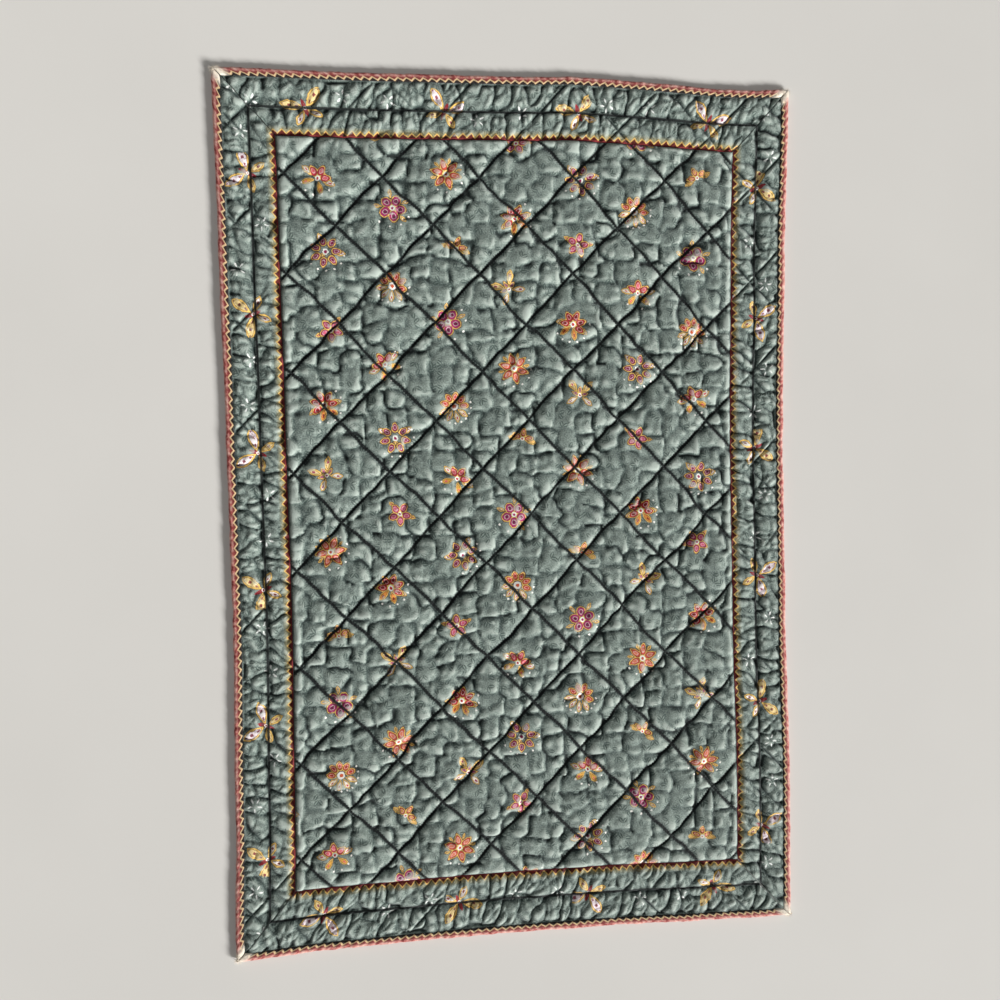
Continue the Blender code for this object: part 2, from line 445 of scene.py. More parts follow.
@dataclass
class Swept:
    """A closed surface from a ring of points carried along a path, with flat ends."""

    name: str
    rings: Array
    object: bpy.types.Object = field(init=False)

    def __post_init__(self) -> None:
        """Builds the mesh, facing out, and smooths it except at its ends."""
        steps, around = self.rings.shape[:2]
        points = self.rings.reshape(-1, 3)
        sides = cut_along_valleys(grid_quads(steps, around, closed=True), points[:, 2])
        if signed_volume(points, sides) < 0.0:
            sides = sides[:, ::-1]
            ends = [list(range(around)), list(range((steps - 1) * around, steps * around))[::-1]]
        else:
            ends = [list(range(around))[::-1], list(range((steps - 1) * around, steps * around))]
        mesh = bpy.data.meshes.new(self.name)
        mesh.from_pydata(points.tolist(), [], sides.tolist() + ends)
        mesh.polygons.foreach_set("use_smooth", [True] * len(sides) + [False, False])
        self.object = bpy.data.objects.new(self.name, mesh)
        bpy.context.scene.collection.objects.link(self.object)

    def per_point(self, name: str, values: Array) -> None:
        """Stores a number for each point of the rings."""
        layer = self.object.data.attributes.new(name, "FLOAT", "POINT")
        layer.data.foreach_set("value", values.astype(np.float32).ravel())

    def corner_points(self) -> Array:
        """The point number at each corner of each face."""
        loops = np.empty(len(self.object.data.loops), dtype=np.int32)
        self.object.data.loops.foreach_get("vertex_index", loops)
        return loops

    def corner_faces(self) -> Array:
        """The face number at each corner of each face."""
        totals = np.empty(len(self.object.data.polygons), dtype=np.int32)
        self.object.data.polygons.foreach_get("loop_total", totals)
        return np.repeat(np.arange(len(totals)), totals)

    def flat_map(self, u: Array, v: Array) -> None:
        """Stores each point's flat coordinates as the map that the print and the weave follow."""
        layer = self.object.data.uv_layers.new(name="flat")
        flat = np.stack([u.ravel(), v.ravel()], axis=-1)[self.corner_points()]
        layer.uv.foreach_set("vector", flat.astype(np.float32).ravel())

    def per_corner(self, name: str, values: Array) -> None:
        """Stores a vector for each corner of each face."""
        layer = self.object.data.attributes.new(name, "FLOAT_VECTOR", "CORNER")
        layer.data.foreach_set("vector", values.astype(np.float32).ravel())

    def per_face(self, name: str, values: Array) -> None:
        """Stores a vector for each face."""
        layer = self.object.data.attributes.new(name, "FLOAT_VECTOR", "FACE")
        layer.data.foreach_set("vector", values.astype(np.float32).ravel())

    def dress(self, material: bpy.types.Material, node: str) -> None:
        """Gives the piece its material, and its place in the frame as one CAD node's stand-in."""
        self.object.data.materials.append(material)
        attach(self.object, "root")
        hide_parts(node)


# ---------------------------------------------------------------------------------------------------------
# Print
# ---------------------------------------------------------------------------------------------------------


@dataclass(frozen=True)
class Petals:
    """A ring of like petals, in millimetres: how far out their middles are, and their half sizes.

    "point" narrows them towards their tips, and "fan" is how many stand each side of straight up.
    """

    count: int = 0
    out: float = 0.0
    long: float = 1.0
    wide: float = 1.0
    point: float = 0.0
    fan: float = 9.0


@dataclass(frozen=True)
class Pair:
    """Two mirrored leaves or wings, in millimetres: turned out from straight up by that many degrees.

    "long" is half their length.
    """

    turn: float = 0.0
    out: float = 0.0
    long: float = 0.0


@dataclass(frozen=True)
class Motif:
    """One small figure of the print: petals round a heart, two pairs of leaves or wings, and dots."""

    petals: Petals = Petals()
    upper: Pair = Pair()
    lower: Pair = Pair()
    heart: float = 0.0
    dots_out: float = 0.0
    dot: float = 0.0
    petal_colour: Colour = linear("#b23a34")
    core_colour: Colour = linear("#5a1420")
    upper_colour: Colour = linear("#f2e6d2")
    lower_colour: Colour = linear("#e2a83c")


FAN_FLOWER = Motif(
    petals=Petals(7, 4.2, 3.0, 1.9, 0.3, 2.0),
    upper=Pair(100.0, 5.2, 3.6),
    lower=Pair(150.0, 4.6, 3.6),
    heart=1.4,
    dots_out=8.8,
    dot=0.5,
    petal_colour=linear("#b5242a"),
    core_colour=linear("#7e1420"),
    upper_colour=linear("#ecdcc4"),
    lower_colour=linear("#d98a3c"),
)
ROSETTE = Motif(
    petals=Petals(5, 3.9, 2.9, 2.5, 0.0),
    upper=Pair(36.0, 7.2, 2.3),
    lower=Pair(108.0, 7.2, 2.3),
    heart=1.3,
    dots_out=9.0,
    dot=0.55,
    petal_colour=linear("#a42a62"),
    core_colour=linear("#6a1240"),
    upper_colour=linear("#ecd9b2"),
    lower_colour=linear("#ecd9b2"),
)
SIDE_FLOWER = Motif(
    petals=Petals(6, 3.8, 2.9, 1.9, 0.3, 1.5),
    upper=Pair(82.0, 5.6, 3.6),
    lower=Pair(136.0, 4.8, 3.4),
    heart=1.2,
    dots_out=8.0,
    dot=0.5,
    petal_colour=linear("#b4283a"),
    core_colour=linear("#d8606a"),
    upper_colour=linear("#efe4d0"),
    lower_colour=linear("#dfa444"),
)
DROP_CLUSTER = Motif(
    petals=Petals(7, 5.3, 2.5, 1.7, 0.25),
    upper=Pair(58.0, 6.4, 3.4),
    lower=Pair(168.0, 2.4, 1.6),
    heart=1.5,
    dots_out=9.2,
    dot=0.5,
    petal_colour=linear("#9a2456"),
    core_colour=linear("#7a1644"),
    upper_colour=linear("#f0e2d8"),
    lower_colour=linear("#f0d8d0"),
)
THREE_LEAF = Motif(
    petals=Petals(5, 2.6, 2.0, 1.1, 0.4, 1.5),
    upper=Pair(40.0, 5.8, 4.0),
    lower=Pair(126.0, 4.8, 3.4),
    heart=1.0,
    petal_colour=linear("#9c2450"),
    core_colour=linear("#9c3a5c"),
    upper_colour=linear("#e8cc94"),
    lower_colour=linear("#efe4d6"),
)
HALF_ZINNIA = Motif(
    petals=Petals(9, 4.8, 2.6, 1.7, 0.2, 2.6),
    upper=Pair(122.0, 5.2, 3.3),
    lower=Pair(160.0, 5.0, 3.2),
    heart=1.9,
    dots_out=8.4,
    dot=0.5,
    petal_colour=linear("#cf5c34"),
    core_colour=linear("#b8362e"),
    upper_colour=linear("#f0dfc6"),
    lower_colour=linear("#f0e6d6"),
)
STAR_FLOWER = Motif(
    petals=Petals(6, 4.5, 3.5, 1.9, 0.4),
    upper=Pair(30.0, 6.4, 1.8),
    lower=Pair(90.0, 6.4, 1.8),
    heart=1.4,
    dots_out=8.8,
    dot=0.5,
    petal_colour=linear("#c24a34"),
    core_colour=linear("#d87a5e"),
    upper_colour=linear("#e6b050"),
    lower_colour=linear("#e6b050"),
)
SMALL_PINK = Motif(
    petals=Petals(5, 3.4, 2.6, 1.9, 0.2),
    upper=Pair(72.0, 5.8, 2.4),
    heart=1.1,
    petal_colour=linear("#ae2e5c"),
    core_colour=linear("#d05a78"),
    upper_colour=linear("#e4ae4c"),
    lower_colour=linear("#e4ae4c"),
)
SMALL_GOLD = Motif(
    petals=Petals(5, 3.2, 2.5, 1.5, 0.3, 1.5),
    upper=Pair(94.0, 4.4, 3.2),
    heart=1.0,
    petal_colour=linear("#c84e30"),
    core_colour=linear("#e0a050"),
    upper_colour=linear("#e6c274"),
    lower_colour=linear("#f0e2c4"),
)
WHITE_BUTTERFLY = Motif(
    petals=Petals(2, 1.8, 2.8, 0.9, 0.2),
    upper=Pair(52.0, 6.8, 6.0),
    lower=Pair(128.0, 5.2, 4.3),
    heart=0.8,
    petal_colour=linear("#8e1f28"),
    core_colour=linear("#8a4a56"),
    upper_colour=linear("#efdfe2"),
    lower_colour=linear("#e6cb8e"),
)
GOLD_BUTTERFLY = Motif(
    petals=Petals(2, 1.8, 2.6, 0.9, 0.2),
    upper=Pair(58.0, 6.6, 5.7),
    lower=Pair(136.0, 5.2, 4.4),
    heart=0.9,
    petal_colour=linear("#9a2630"),
    core_colour=linear("#84403c"),
    upper_colour=linear("#e6cb8e"),
    lower_colour=linear("#efe2da"),
)
WHITE_STAR = Motif(
    petals=Petals(5, 2.4, 1.2, 0.42, 0.0),
    petal_colour=linear("#eef0ea"),
    core_colour=linear("#eef0ea"),
)


@dataclass(frozen=True)
class Placed:
    """A motif at its place on the flat cloth, turned by that many degrees anticlockwise."""

    motif: Motif
    u: float
    v: float
    turn: float


@dataclass
class PanelPrint:
    """The centre's print: small motifs in columns, every other column dropped by half a step.

    The motifs follow each other along a column in a fixed order, which starts two further on in each next
    column, so that like motifs don't stand side by side.
    """

    across: float = 36.0 * MM
    along: float = 43.0 * MM
    sway: float = 3.5 * MM
    turn_spread: float = 40.0
    reach: float = 12.0 * MM
    COLUMNS = 4
    ROWS = 6
    ORDER = (
        ROSETTE,
        SMALL_GOLD,
        STAR_FLOWER,
        THREE_LEAF,
        FAN_FLOWER,
        SMALL_PINK,
        DROP_CLUSTER,
        SIDE_FLOWER,
        HALF_ZINNIA,
    )

    def placed(self) -> list[Placed]:
        """Every motif that falls on the panel or reaches onto it."""
        spread = np.random.default_rng(61)
        area = SEAM.inset(-self.reach)
        found = []
        for column in range(-self.COLUMNS, self.COLUMNS + 1):
            for row in range(-self.ROWS, self.ROWS + 1):
                aside, ahead, lean = spread.uniform(-1.0, 1.0, 3)
                u = column * self.across + aside * self.sway
                v = (row + 0.5 * (column % 2)) * self.along + ahead * self.sway
                motif = self.ORDER[(row + 2 * column) % len(self.ORDER)]
                if area.inside(u, v) > 0.0:
                    found.append(Placed(motif, u, v, lean * self.turn_spread))
        return found


@dataclass
class BorderPrint:
    """The border's print on one side: butterflies at even steps, and small white stars between them.

    Places are along the strip from its middle, anticlockwise, and out from the seam. The butterflies head
    outwards, and lean to one side and the other by turns.
    """

    side: Side
    butterfly_step: float = 77.0 * MM
    butterfly_row: float = 15.5 * MM
    butterfly_lean: float = 22.0
    clear: float = 15.0 * MM
    star_spacing: float = 25.0 * MM
    star_row: float = 9.0 * MM
    star_sway: float = 7.0 * MM
    HALF_LONG = 240.0 * MM
    HALF_SHORT = 155.0 * MM

    def placed(self) -> list[Placed]:
        """The side's butterflies, and the stars that stand clear of them."""
        half = self.HALF_LONG if self.side in (Side.LEFT, Side.RIGHT) else self.HALF_SHORT
        count = int(2.0 * half / self.butterfly_step)
        flies = [
            Placed(
                (WHITE_BUTTERFLY, GOLD_BUTTERFLY)[k % 2],
                (k - (count - 1) / 2.0) * self.butterfly_step,
                self.butterfly_row,
                self.butterfly_lean * (-1.0) ** k,
            )
            for k in range(count)
        ]
        sway = np.random.default_rng(70 + len(self.side.value))
        found = list(flies)
        for along in np.arange(-half, half, self.star_spacing):
            out = self.star_row + self.star_sway * (1.0 + sway.uniform(-1.0, 1.0))
            turn = sway.uniform(0.0, 360.0)
            if min(abs(along - fly.u) for fly in flies) > self.clear:
                found.append(Placed(WHITE_STAR, along, out, turn))
        return found


MOTIF_SCALE = 1.15
# the row distance given to undersides and raw edges, far enough that no painted shade from the rows reaches
# them
FAR_FROM_ROWS = 9.0


def press_print(piece: Swept, u: Array, v: Array, front: Array, placed: list[Placed], reach: float) -> None:
    """Stores on each face the motif that covers it: the motif's own coordinates, sizes and colours.

    Each face takes the nearest motif, if that is within reach and all its points are on the cloth's front.
    Its corners store where they lie in the motif's coordinates, in millimetres, up being the motif's top.

    Args:
        piece: the cloth.
        u: flat coordinate of each point.
        v: the other flat coordinate.
        front: whether each point is on the front.
        placed: the motifs.
        reach: how far a motif's print can go from its middle.
    """
    points, faces = piece.corner_points(), piece.corner_faces()
    u, v = u.ravel()[points], v.ravel()[points]
    share = 1.0 / np.bincount(faces)
    middle_u, middle_v = np.bincount(faces, u) * share, np.bincount(faces, v) * share
    showing = np.bincount(faces, front.ravel()[points]) * share > 0.999
    places = np.array([(item.u, item.v) for item in placed])
    gaps = np.hypot(middle_u[:, None] - places[:, 0], middle_v[:, None] - places[:, 1])
    nearest = gaps.argmin(axis=1)
    covered = (gaps.min(axis=1) < reach) & showing
    turn = np.radians([item.turn for item in placed])[nearest[faces]]
    unit = MOTIF_SCALE * MM
    du, dv = (u - places[nearest[faces], 0]) / unit, (v - places[nearest[faces], 1]) / unit
    right, up = du * np.cos(turn) + dv * np.sin(turn), dv * np.cos(turn) - du * np.sin(turn)
    piece.per_corner("motif_place", np.stack([right, up, covered[faces].astype(float)], axis=-1))
    motifs = [item.motif for item in placed]
    facts = {
        "petal_form": [(m.petals.count, m.petals.out, m.petals.long) for m in motifs],
        "petal_edge": [(m.petals.wide, m.petals.point, m.petals.fan) for m in motifs],
        "middle_form": [(m.heart, m.dots_out, m.dot) for m in motifs],
        "upper_form": [(math.radians(m.upper.turn), m.upper.out, m.upper.long) for m in motifs],
        "lower_form": [(math.radians(m.lower.turn), m.lower.out, m.lower.long) for m in motifs],
        "petal_colour": [m.petal_colour for m in motifs],
        "core_colour": [m.core_colour for m in motifs],
        "upper_colour": [m.upper_colour for m in motifs],
        "lower_colour": [m.lower_colour for m in motifs],
    }
    for name, rows in facts.items():
        piece.per_face(name, np.array(rows, dtype=float)[nearest] * covered[:, None])


# ---------------------------------------------------------------------------------------------------------
# Shader maths
# ---------------------------------------------------------------------------------------------------------


class Value:
    """A number, vector or colour in a material. Arithmetic on numbers adds Math nodes."""

    def __init__(self, material: bpy.types.Material, socket: bpy.types.NodeSocket) -> None:
        """Wraps a socket that gives the value."""
        self.material = material
        self.socket = socket

    def math(self, operation: str, *others: "Value | float") -> "Value":
        """A Math node with this value first."""
        return add_node(self.material, "ShaderNodeMath", {"operation": operation}, (self, *others))

    def __add__(self, other: "Value | float") -> "Value":
        """Sum."""
        return self.math("ADD", other)

    def __sub__(self, other: "Value | float") -> "Value":
        """Difference."""
        return self.math("SUBTRACT", other)

    def __mul__(self, other: "Value | float") -> "Value":
        """Product."""
        return self.math("MULTIPLY", other)

    def __truediv__(self, other: "Value | float") -> "Value":
        """Quotient."""
        return self.math("DIVIDE", other)

    __radd__ = __add__
    __rmul__ = __mul__

    def __rsub__(self, other: float) -> "Value":
        """A number less this value."""
        return add_node(self.material, "ShaderNodeMath", {"operation": "SUBTRACT"}, (other, self))

    def __rtruediv__(self, other: float) -> "Value":
        """A number divided by this value."""
        return add_node(self.material, "ShaderNodeMath", {"operation": "DIVIDE"}, (other, self))

    def __pow__(self, power: float) -> "Value":
        """Power."""
        return self.math("POWER", power)

    def __abs__(self) -> "Value":
        """Size without sign."""
        return self.math("ABSOLUTE")

    def __lt__(self, other: "Value | float") -> "Value":
        """1 where this value is less, else 0."""
        return self.math("LESS_THAN", other)

    def __gt__(self, other: "Value | float") -> "Value":
        """1 where this value is greater, else 0."""
        return self.math("GREATER_THAN", other)

    def clamped(self) -> "Value":
        """The value kept between 0 and 1."""
        return self.math("MAXIMUM", 0.0).math("MINIMUM", 1.0)

    def ramp(self, low: float, high: float) -> "Value":
        """0 at low, 1 at high, and straight between; low may be the larger of the two."""
        return ((self - low) / (high - low)).clamped()

    def parts(self) -> tuple["Value", "Value", "Value"]:
        """The three parts of a vector."""
        split = self.material.node_tree.nodes.new("ShaderNodeSeparateXYZ")
        self.material.node_tree.links.new(self.socket, split.inputs[0])
        return tuple(Value(self.material, split.outputs[k]) for k in range(3))


Input = Value | float | tuple


def add_node(
    material: bpy.types.Material,
    kind: str,
    settings: dict[str, object] | None = None,
    inputs: tuple[Input, ...] | dict[str, Input] = (),
    output: str | int = 0,
) -> Value:
    """Adds a node to a material.

    Args:
        material: the material.
        kind: the node's type.
        settings: its properties, set first.
        inputs: values or links of its sockets, in order or by name.
        output: the output to give back.

    Returns:
        That output.
    """
    node = material.node_tree.nodes.new(kind)
    for name, setting in (settings or {}).items():
        setattr(node, name, setting)
    named = inputs.items() if isinstance(inputs, dict) else enumerate(inputs)
    for key, given in named:
        if isinstance(given, Value):
            material.node_tree.links.new(given.socket, node.inputs[key])
        else:
            node.inputs[key].default_value = given
    return Value(material, node.outputs[output])


class Finish:
    """A Principled material being wired."""

    def __init__(self, name: str, **constants: float | tuple) -> None:
        """Makes the material, with what is the same all over set on the shader's own sockets."""
        self.material = bpy.data.materials.new(name)
        self.material.use_nodes = True
        self.shader = self.material.node_tree.nodes["Principled BSDF"]
        for socket, constant in constants.items():
            title = socket.replace("_", " ").title().replace("Ior", "IOR")
            self.shader.inputs[title].default_value = constant

    def node(self, kind: str, inputs: tuple | dict = (), output: str | int = 0, **settings: object) -> Value:
        """Adds a node: its settings by name, its sockets in order or by name."""
        return add_node(self.material, kind, settings, inputs, output)

    def attribute(self, name: str, output: str = "Fac") -> Value:
        """A number, or with output "Vector" a vector, that the mesh stores."""
        return self.node("ShaderNodeAttribute", output=output, attribute_name=name)

    def flat(self) -> tuple[Value, Value]:
        """The cloth's flat coordinates in millimetres."""
        u, v, _ = self.node("ShaderNodeUVMap", uv_map="flat").parts()
        return u * (1.0 / MM), v * (1.0 / MM)

    def joined(self, x: Input, y: Input, z: Input = 0.0) -> Value:
        """A vector from three numbers."""
        return self.node("ShaderNodeCombineXYZ", (x, y, z))

    def blend(self, share: Input, low: Input, high: Input) -> Value:
        """Colour between two colours: low at share 0, high at share 1."""
        node = self.material.node_tree.nodes.new("ShaderNodeMix")
        node.data_type = "RGBA"
        for key, given in ((0, share), (6, low), (7, high)):
            if isinstance(given, Value):
                self.material.node_tree.links.new(given.socket, node.inputs[key])
            else:
                node.inputs[key].default_value = given if isinstance(given, float) else (*given[:3], 1.0)
        return Value(self.material, node.outputs[2])

    def noise(self, vector: Value, scale: float, detail: float = 2.0, output: str = "Fac") -> Value:
        """Noise with lumps of one over the scale."""
        return self.node("ShaderNodeTexNoise", {"Vector": vector, "Scale": scale, "Detail": detail}, output)

    def colour(self, value: Value) -> None:
        """Feeds Base Color."""
        self.material.node_tree.links.new(value.socket, self.shader.inputs["Base Color"])

    def bump(self, height: Value, distance: float) -> None:
        """Feeds Normal from a height, 0 to 1, that stands for that many metres."""
        node = self.node("ShaderNodeBump", {"Height": height, "Distance": distance, "Strength": 1.0})
        self.material.node_tree.links.new(node.socket, self.shader.inputs["Normal"])


@dataclass(frozen=True)
class CottonInks:
    """Colours of the printed cotton, and of the painted shade and painted highlight laid on its relief."""

    # near-black painted shade in the deepest valleys and along the rows of stitching
    valley: Colour = linear("#070d0d")
    # painted shade in the crinkle valleys
    deep: Colour = linear("#3c4a46")
    body: Colour = linear("#748079")
    # painted highlight on the crinkle ridges
    painted_ridge_highlight: Colour = linear("#9aa79d")
    worn: Colour = linear("#c3ccc2")
    leaf_line: Colour = linear("#34443f")
    outline: Colour = linear("#e4bd66")
    line: Colour = linear("#5a1c16")
    white: Colour = linear("#f3efe6")
    back: Colour = linear("#93a197")


class PrintedCotton(Finish):
    """Washed cotton printed with small motifs over a scatter of dark leaf outlines."""

    def __init__(self, name: str, inks: CottonInks, trimmed: bool) -> None:
        """Wires the finish.

        Args:
            name: the material's name.
            inks: its colours.
            trimmed: whether a zigzag trim is printed along the seam.
        """
        super().__init__(
            name, roughness=0.92, sheen_weight=0.25, sheen_roughness=0.5, specular_ior_level=0.25
        )
        self.inks = inks
        self.u, self.v = self.flat()
        colour = self.scattered_leaves(self.ground())
        if trimmed:
            colour = self.trim(colour)
        colour = self.motifs(colour)
        colour = self.worn_and_painted_shade(colour)
        front = self.attribute("front")
        self.colour(self.blend(front > 0.5, inks.back, colour))
        self.weave()

    def ground(self) -> Value:
        """Grey-green with washed-out blotches, painted shade in the valleys and a painted highlight on the
        ridges.
        """
        relief = self.attribute("relief")
        place = self.joined(self.u, self.v)
        blotch = self.noise(place, 0.09, 3.0)
        fine = self.noise(place, 1.2, 4.0)
        # relief paints shade into the valleys and a highlight onto the ridges; the blotches and fine noise
        # are the cloth's own uneven tone
        level = relief * 0.3 + (blotch - 0.5) * 0.4 + (fine - 0.5) * 1.4 + 0.5
        dark = self.blend(level.ramp(0.05, 0.5), self.inks.deep, self.inks.body)
        return self.blend(level.ramp(0.5, 0.9), dark, self.inks.painted_ridge_highlight)

    def worn_and_painted_shade(self, colour: Value) -> Value:
        """Dye gone from the sharpest ridges; painted shade in the deepest valleys and along the rows of
        stitching.
        """
        relief, row = self.attribute("relief"), self.attribute("row")
        lint = self.noise(self.joined(self.u, self.v), 2.6, 2.0)
        worn = (relief * 0.8 + lint - 0.95).ramp(0.2, 0.55) * 0.5
        colour = self.blend(worn, colour, self.inks.worn)
        # painted shade: the deepest valleys of the relief darken towards near-black
        colour = self.blend((0.0 - relief).ramp(0.7, 2.2) * 0.8, colour, self.inks.valley)
        # painted shade along the rows of stitching and the border's ditch, where the sewn cloth dips
        return self.blend((row + (lint - 0.5) * 0.5).ramp(1.05, 0.45) * 0.95, colour, self.inks.valley)

    def leaf(self, x: Value, y: Value, half_wide: Input, half_long: Input) -> Value:
        """How far out a point is in a pointed leaf: 0 on its vein, 1 on its edge, large past its tips.

        The edge lies at half_wide times one less the square of y over half_long.
        """
        along = y / half_long
        room = (1.0 - along * along).math("MAXIMUM", 0.001)
        return abs(x) / (room * half_wide)

    def scattered_leaves(self, ground: Value) -> Value:
        """Thin dark outlines of small leaves, one to a cell of a random scatter, each turned its own way."""
        place = self.joined(self.u * (1.0 / 7.6), self.v * (1.0 / 7.6))
        cells = {"Vector": place, "Scale": 1.0, "Randomness": 0.75}
        middle = self.node("ShaderNodeTexVoronoi", cells, "Position", voronoi_dimensions="2D")
        tint = Value(self.material, middle.socket.node.outputs["Color"])
        offset = self.node("ShaderNodeVectorMath", (place, middle), operation="SUBTRACT")
        x, y, _ = offset.parts()
        chance, other, _ = tint.parts()
        angle = chance * (2.0 * math.pi)
        sine, cosine = angle.math("SINE"), angle.math("COSINE")
        across, along = x * cosine + y * sine, y * cosine - x * sine
        side = abs(across)
        forward = along + 0.23
        rim = self.leaf(side * 0.8 - forward * 0.6, side * 0.6 + forward * 0.8 - 0.29, 0.115, 0.28)
        both = (across > 0.0).math("MAXIMUM", other > 0.4)
        line = abs(rim - 0.85).ramp(0.65, 0.3) * (abs(side * 0.6 + forward * 0.8 - 0.29) < 0.28) * both
        return self.blend(line * 0.72, ground, self.inks.leaf_line)

    def trim(self, colour: Value) -> Value:
        """A zigzag along the seam: a dark red band, and yellow points that stand out from it."""
        pitch, band, top = 4.75, 0.6, 3.5
        uneven = (self.noise(self.joined(self.u, self.v), 0.45, 2.0) - 0.5) * 1.1
        wave = abs(((self.u + uneven) * (1.0 / pitch)).math("FRACT") - 0.5) * 2.0
        edge = wave * (top - band - 0.7) + uneven * 0.6 + band + 0.3
        glow = (self.v + uneven).ramp(top + 1.6, top - 0.4) * 0.4
        colour = self.blend(glow, colour, linear("#a8924e"))
        colour = self.blend(self.v < edge, colour, linear("#5c1c16"))
        line = abs(self.v - edge).ramp(0.52, 0.26)
        colour = self.blend(line, colour, linear("#d8b062"))
        return self.blend(self.v < band, colour, linear("#84282a"))

    def motifs(self, colour: Value) -> Value:
        """The motif whose coordinates the cloth carries here, drawn from its stored sizes and colours."""
        x, y, covered = self.attribute("motif_place", "Vector").parts()
        wobble = self.noise(self.joined(self.u, self.v), 0.7, 1.0, "Color")
        shake_x, shake_y, _ = wobble.parts()
        x, y = x + (shake_x - 0.5) * 0.9, y + (shake_y - 0.5) * 0.9
        colour = self.wings(colour, x, y, covered, "lower")
        colour = self.wings(colour, x, y, covered, "upper")
        return self.petals(colour, x, y, covered)

    def wings(self, colour: Value, x: Value, y: Value, covered: Value, which: str) -> Value:
        """A mirrored pair of pointed leaves: gold edge, dark line, fill and a vein of spots."""
        turn, out, long = self.attribute(f"{which}_form", "Vector").parts()
        fill = self.attribute(f"{which}_colour", "Vector")
        core_colour = self.attribute("core_colour", "Vector")
        side = abs(x)
        sine, cosine = turn.math("SINE"), turn.math("COSINE")
        across, along = side * cosine - y * sine, side * sine + y * cosine - out
        share = along / (long + 0.001)
        room = (1.0 - share * share).math("MAXIMUM", -1.0)
        half = room * (long * 0.43) * (1.0 + share * 0.3).math("MAXIMUM", 0.1)
        margin = half - abs(across)
        rim = (long > 3.9) * 0.3
        here = covered * (margin + 0.2).ramp(0.0, 0.2) * (long > 0.1)
        colour = self.blend(here, colour, self.inks.line)
        colour = self.blend(here * margin.ramp(0.0, 0.15), colour, self.inks.outline)
        colour = self.blend(here * (margin - rim).ramp(0.45, 0.55), colour, self.inks.line)
        colour = self.blend(here * (margin - rim).ramp(0.6, 0.75), colour, fill)
        spots = (along * 1.7).math("SINE").ramp(0.1, 0.5) * margin.ramp(half * 0.72, half * 0.72 + 0.2)
        return self.blend(here * spots * (margin - rim).ramp(0.7, 0.85), colour, core_colour)

    def petals(self, colour: Value, x: Value, y: Value, covered: Value) -> Value:
        """A ring or fan of petals round a heart, with dots outside it.

        A point's angle is folded into one petal's share of the turn, which makes all the petals one.
        """
        count, out, long = self.attribute("petal_form", "Vector").parts()
        wide, point, fan = self.attribute("petal_edge", "Vector").parts()
        heart, dots_out, dot = self.attribute("middle_form", "Vector").parts()
        petal_colour = self.attribute("petal_colour", "Vector")
        core_colour = self.attribute("core_colour", "Vector")
        distance = (x * x + y * y).math("SQRT")
        turns = x.math("ARCTAN2", y) * (1.0 / (2.0 * math.pi))
        sector = turns * count
        nearest = sector.math("ROUND")
        angle = (sector - nearest) / count.math("MAXIMUM", 1.0) * (2.0 * math.pi)
        across, along = distance * angle.math("SINE"), distance * angle.math("COSINE")
        along_share = (along - out) / long.math("MAXIMUM", 0.1)
        across_share = across / (wide * (1.0 - point * along_share)).math("MAXIMUM", 0.05)
        rim = (along_share * along_share + across_share * across_share).math("SQRT")
        margin = (1.0 - rim) * wide
        shown = covered * (count > 0.5) * (abs(nearest) < fan + 0.1)
        edged = wide > 1.0
        colour = self.blend(shown * edged * margin.ramp(-0.35, -0.1), colour, self.inks.line)
        here = shown * margin.ramp(-0.05, 0.1)
        colour = self.blend(here, colour, self.blend(edged, petal_colour, self.inks.outline))
        colour = self.blend(here * edged * margin.ramp(0.34, 0.44), colour, self.inks.line)
        colour = self.blend(here * margin.ramp(0.48, 0.6), colour, petal_colour)
        ring = self.blend(0.55, petal_colour, self.inks.white)
        colour = self.blend(here * rim.ramp(0.5, 0.42) * edged, colour, ring)
        colour = self.blend(here * rim.ramp(0.4, 0.32), colour, core_colour)
        colour = self.blend(covered * (distance < heart), colour, self.inks.white)
        colour = self.blend(covered * (distance < heart * 0.5), colour, petal_colour)
        beads = turns * count * 2.0 + 0.5
        bead_angle = (beads - beads.math("ROUND")) / (count * 2.0).math("MAXIMUM", 1.0) * (2.0 * math.pi)
        bead_across = distance * bead_angle.math("SINE")
        bead_along = distance * bead_angle.math("COSINE") - dots_out
        bead = (bead_across * bead_across + bead_along * bead_along).math("SQRT") < dot
        sided = x * 0.7 - y > distance * 0.1
        return self.blend(bead * covered * sided * (dot > 0.01), colour, self.inks.white)

    def weave(self) -> None:
        """Plain weave: yarns over and under, with slubs."""
        pitch = 2.0 * math.pi / 0.62
        over = (self.u * pitch).math("SINE") * (self.v * pitch).math("SINE")
        slub = self.noise(self.joined(self.u, self.v), 1.4, 3.0)
        self.bump(over * 0.14 + slub * 1.2, 0.34 * MM)


@dataclass(frozen=True)
class TapeInks:
    """Colours of the binding tape."""

    maroon: Colour = linear("#7c3330")
    cream: Colour = linear("#d3b488")
    coral: Colour = linear("#b8645c")
    pale: Colour = linear("#dfb0a2")
    tip: Colour = linear("#efe3d0")


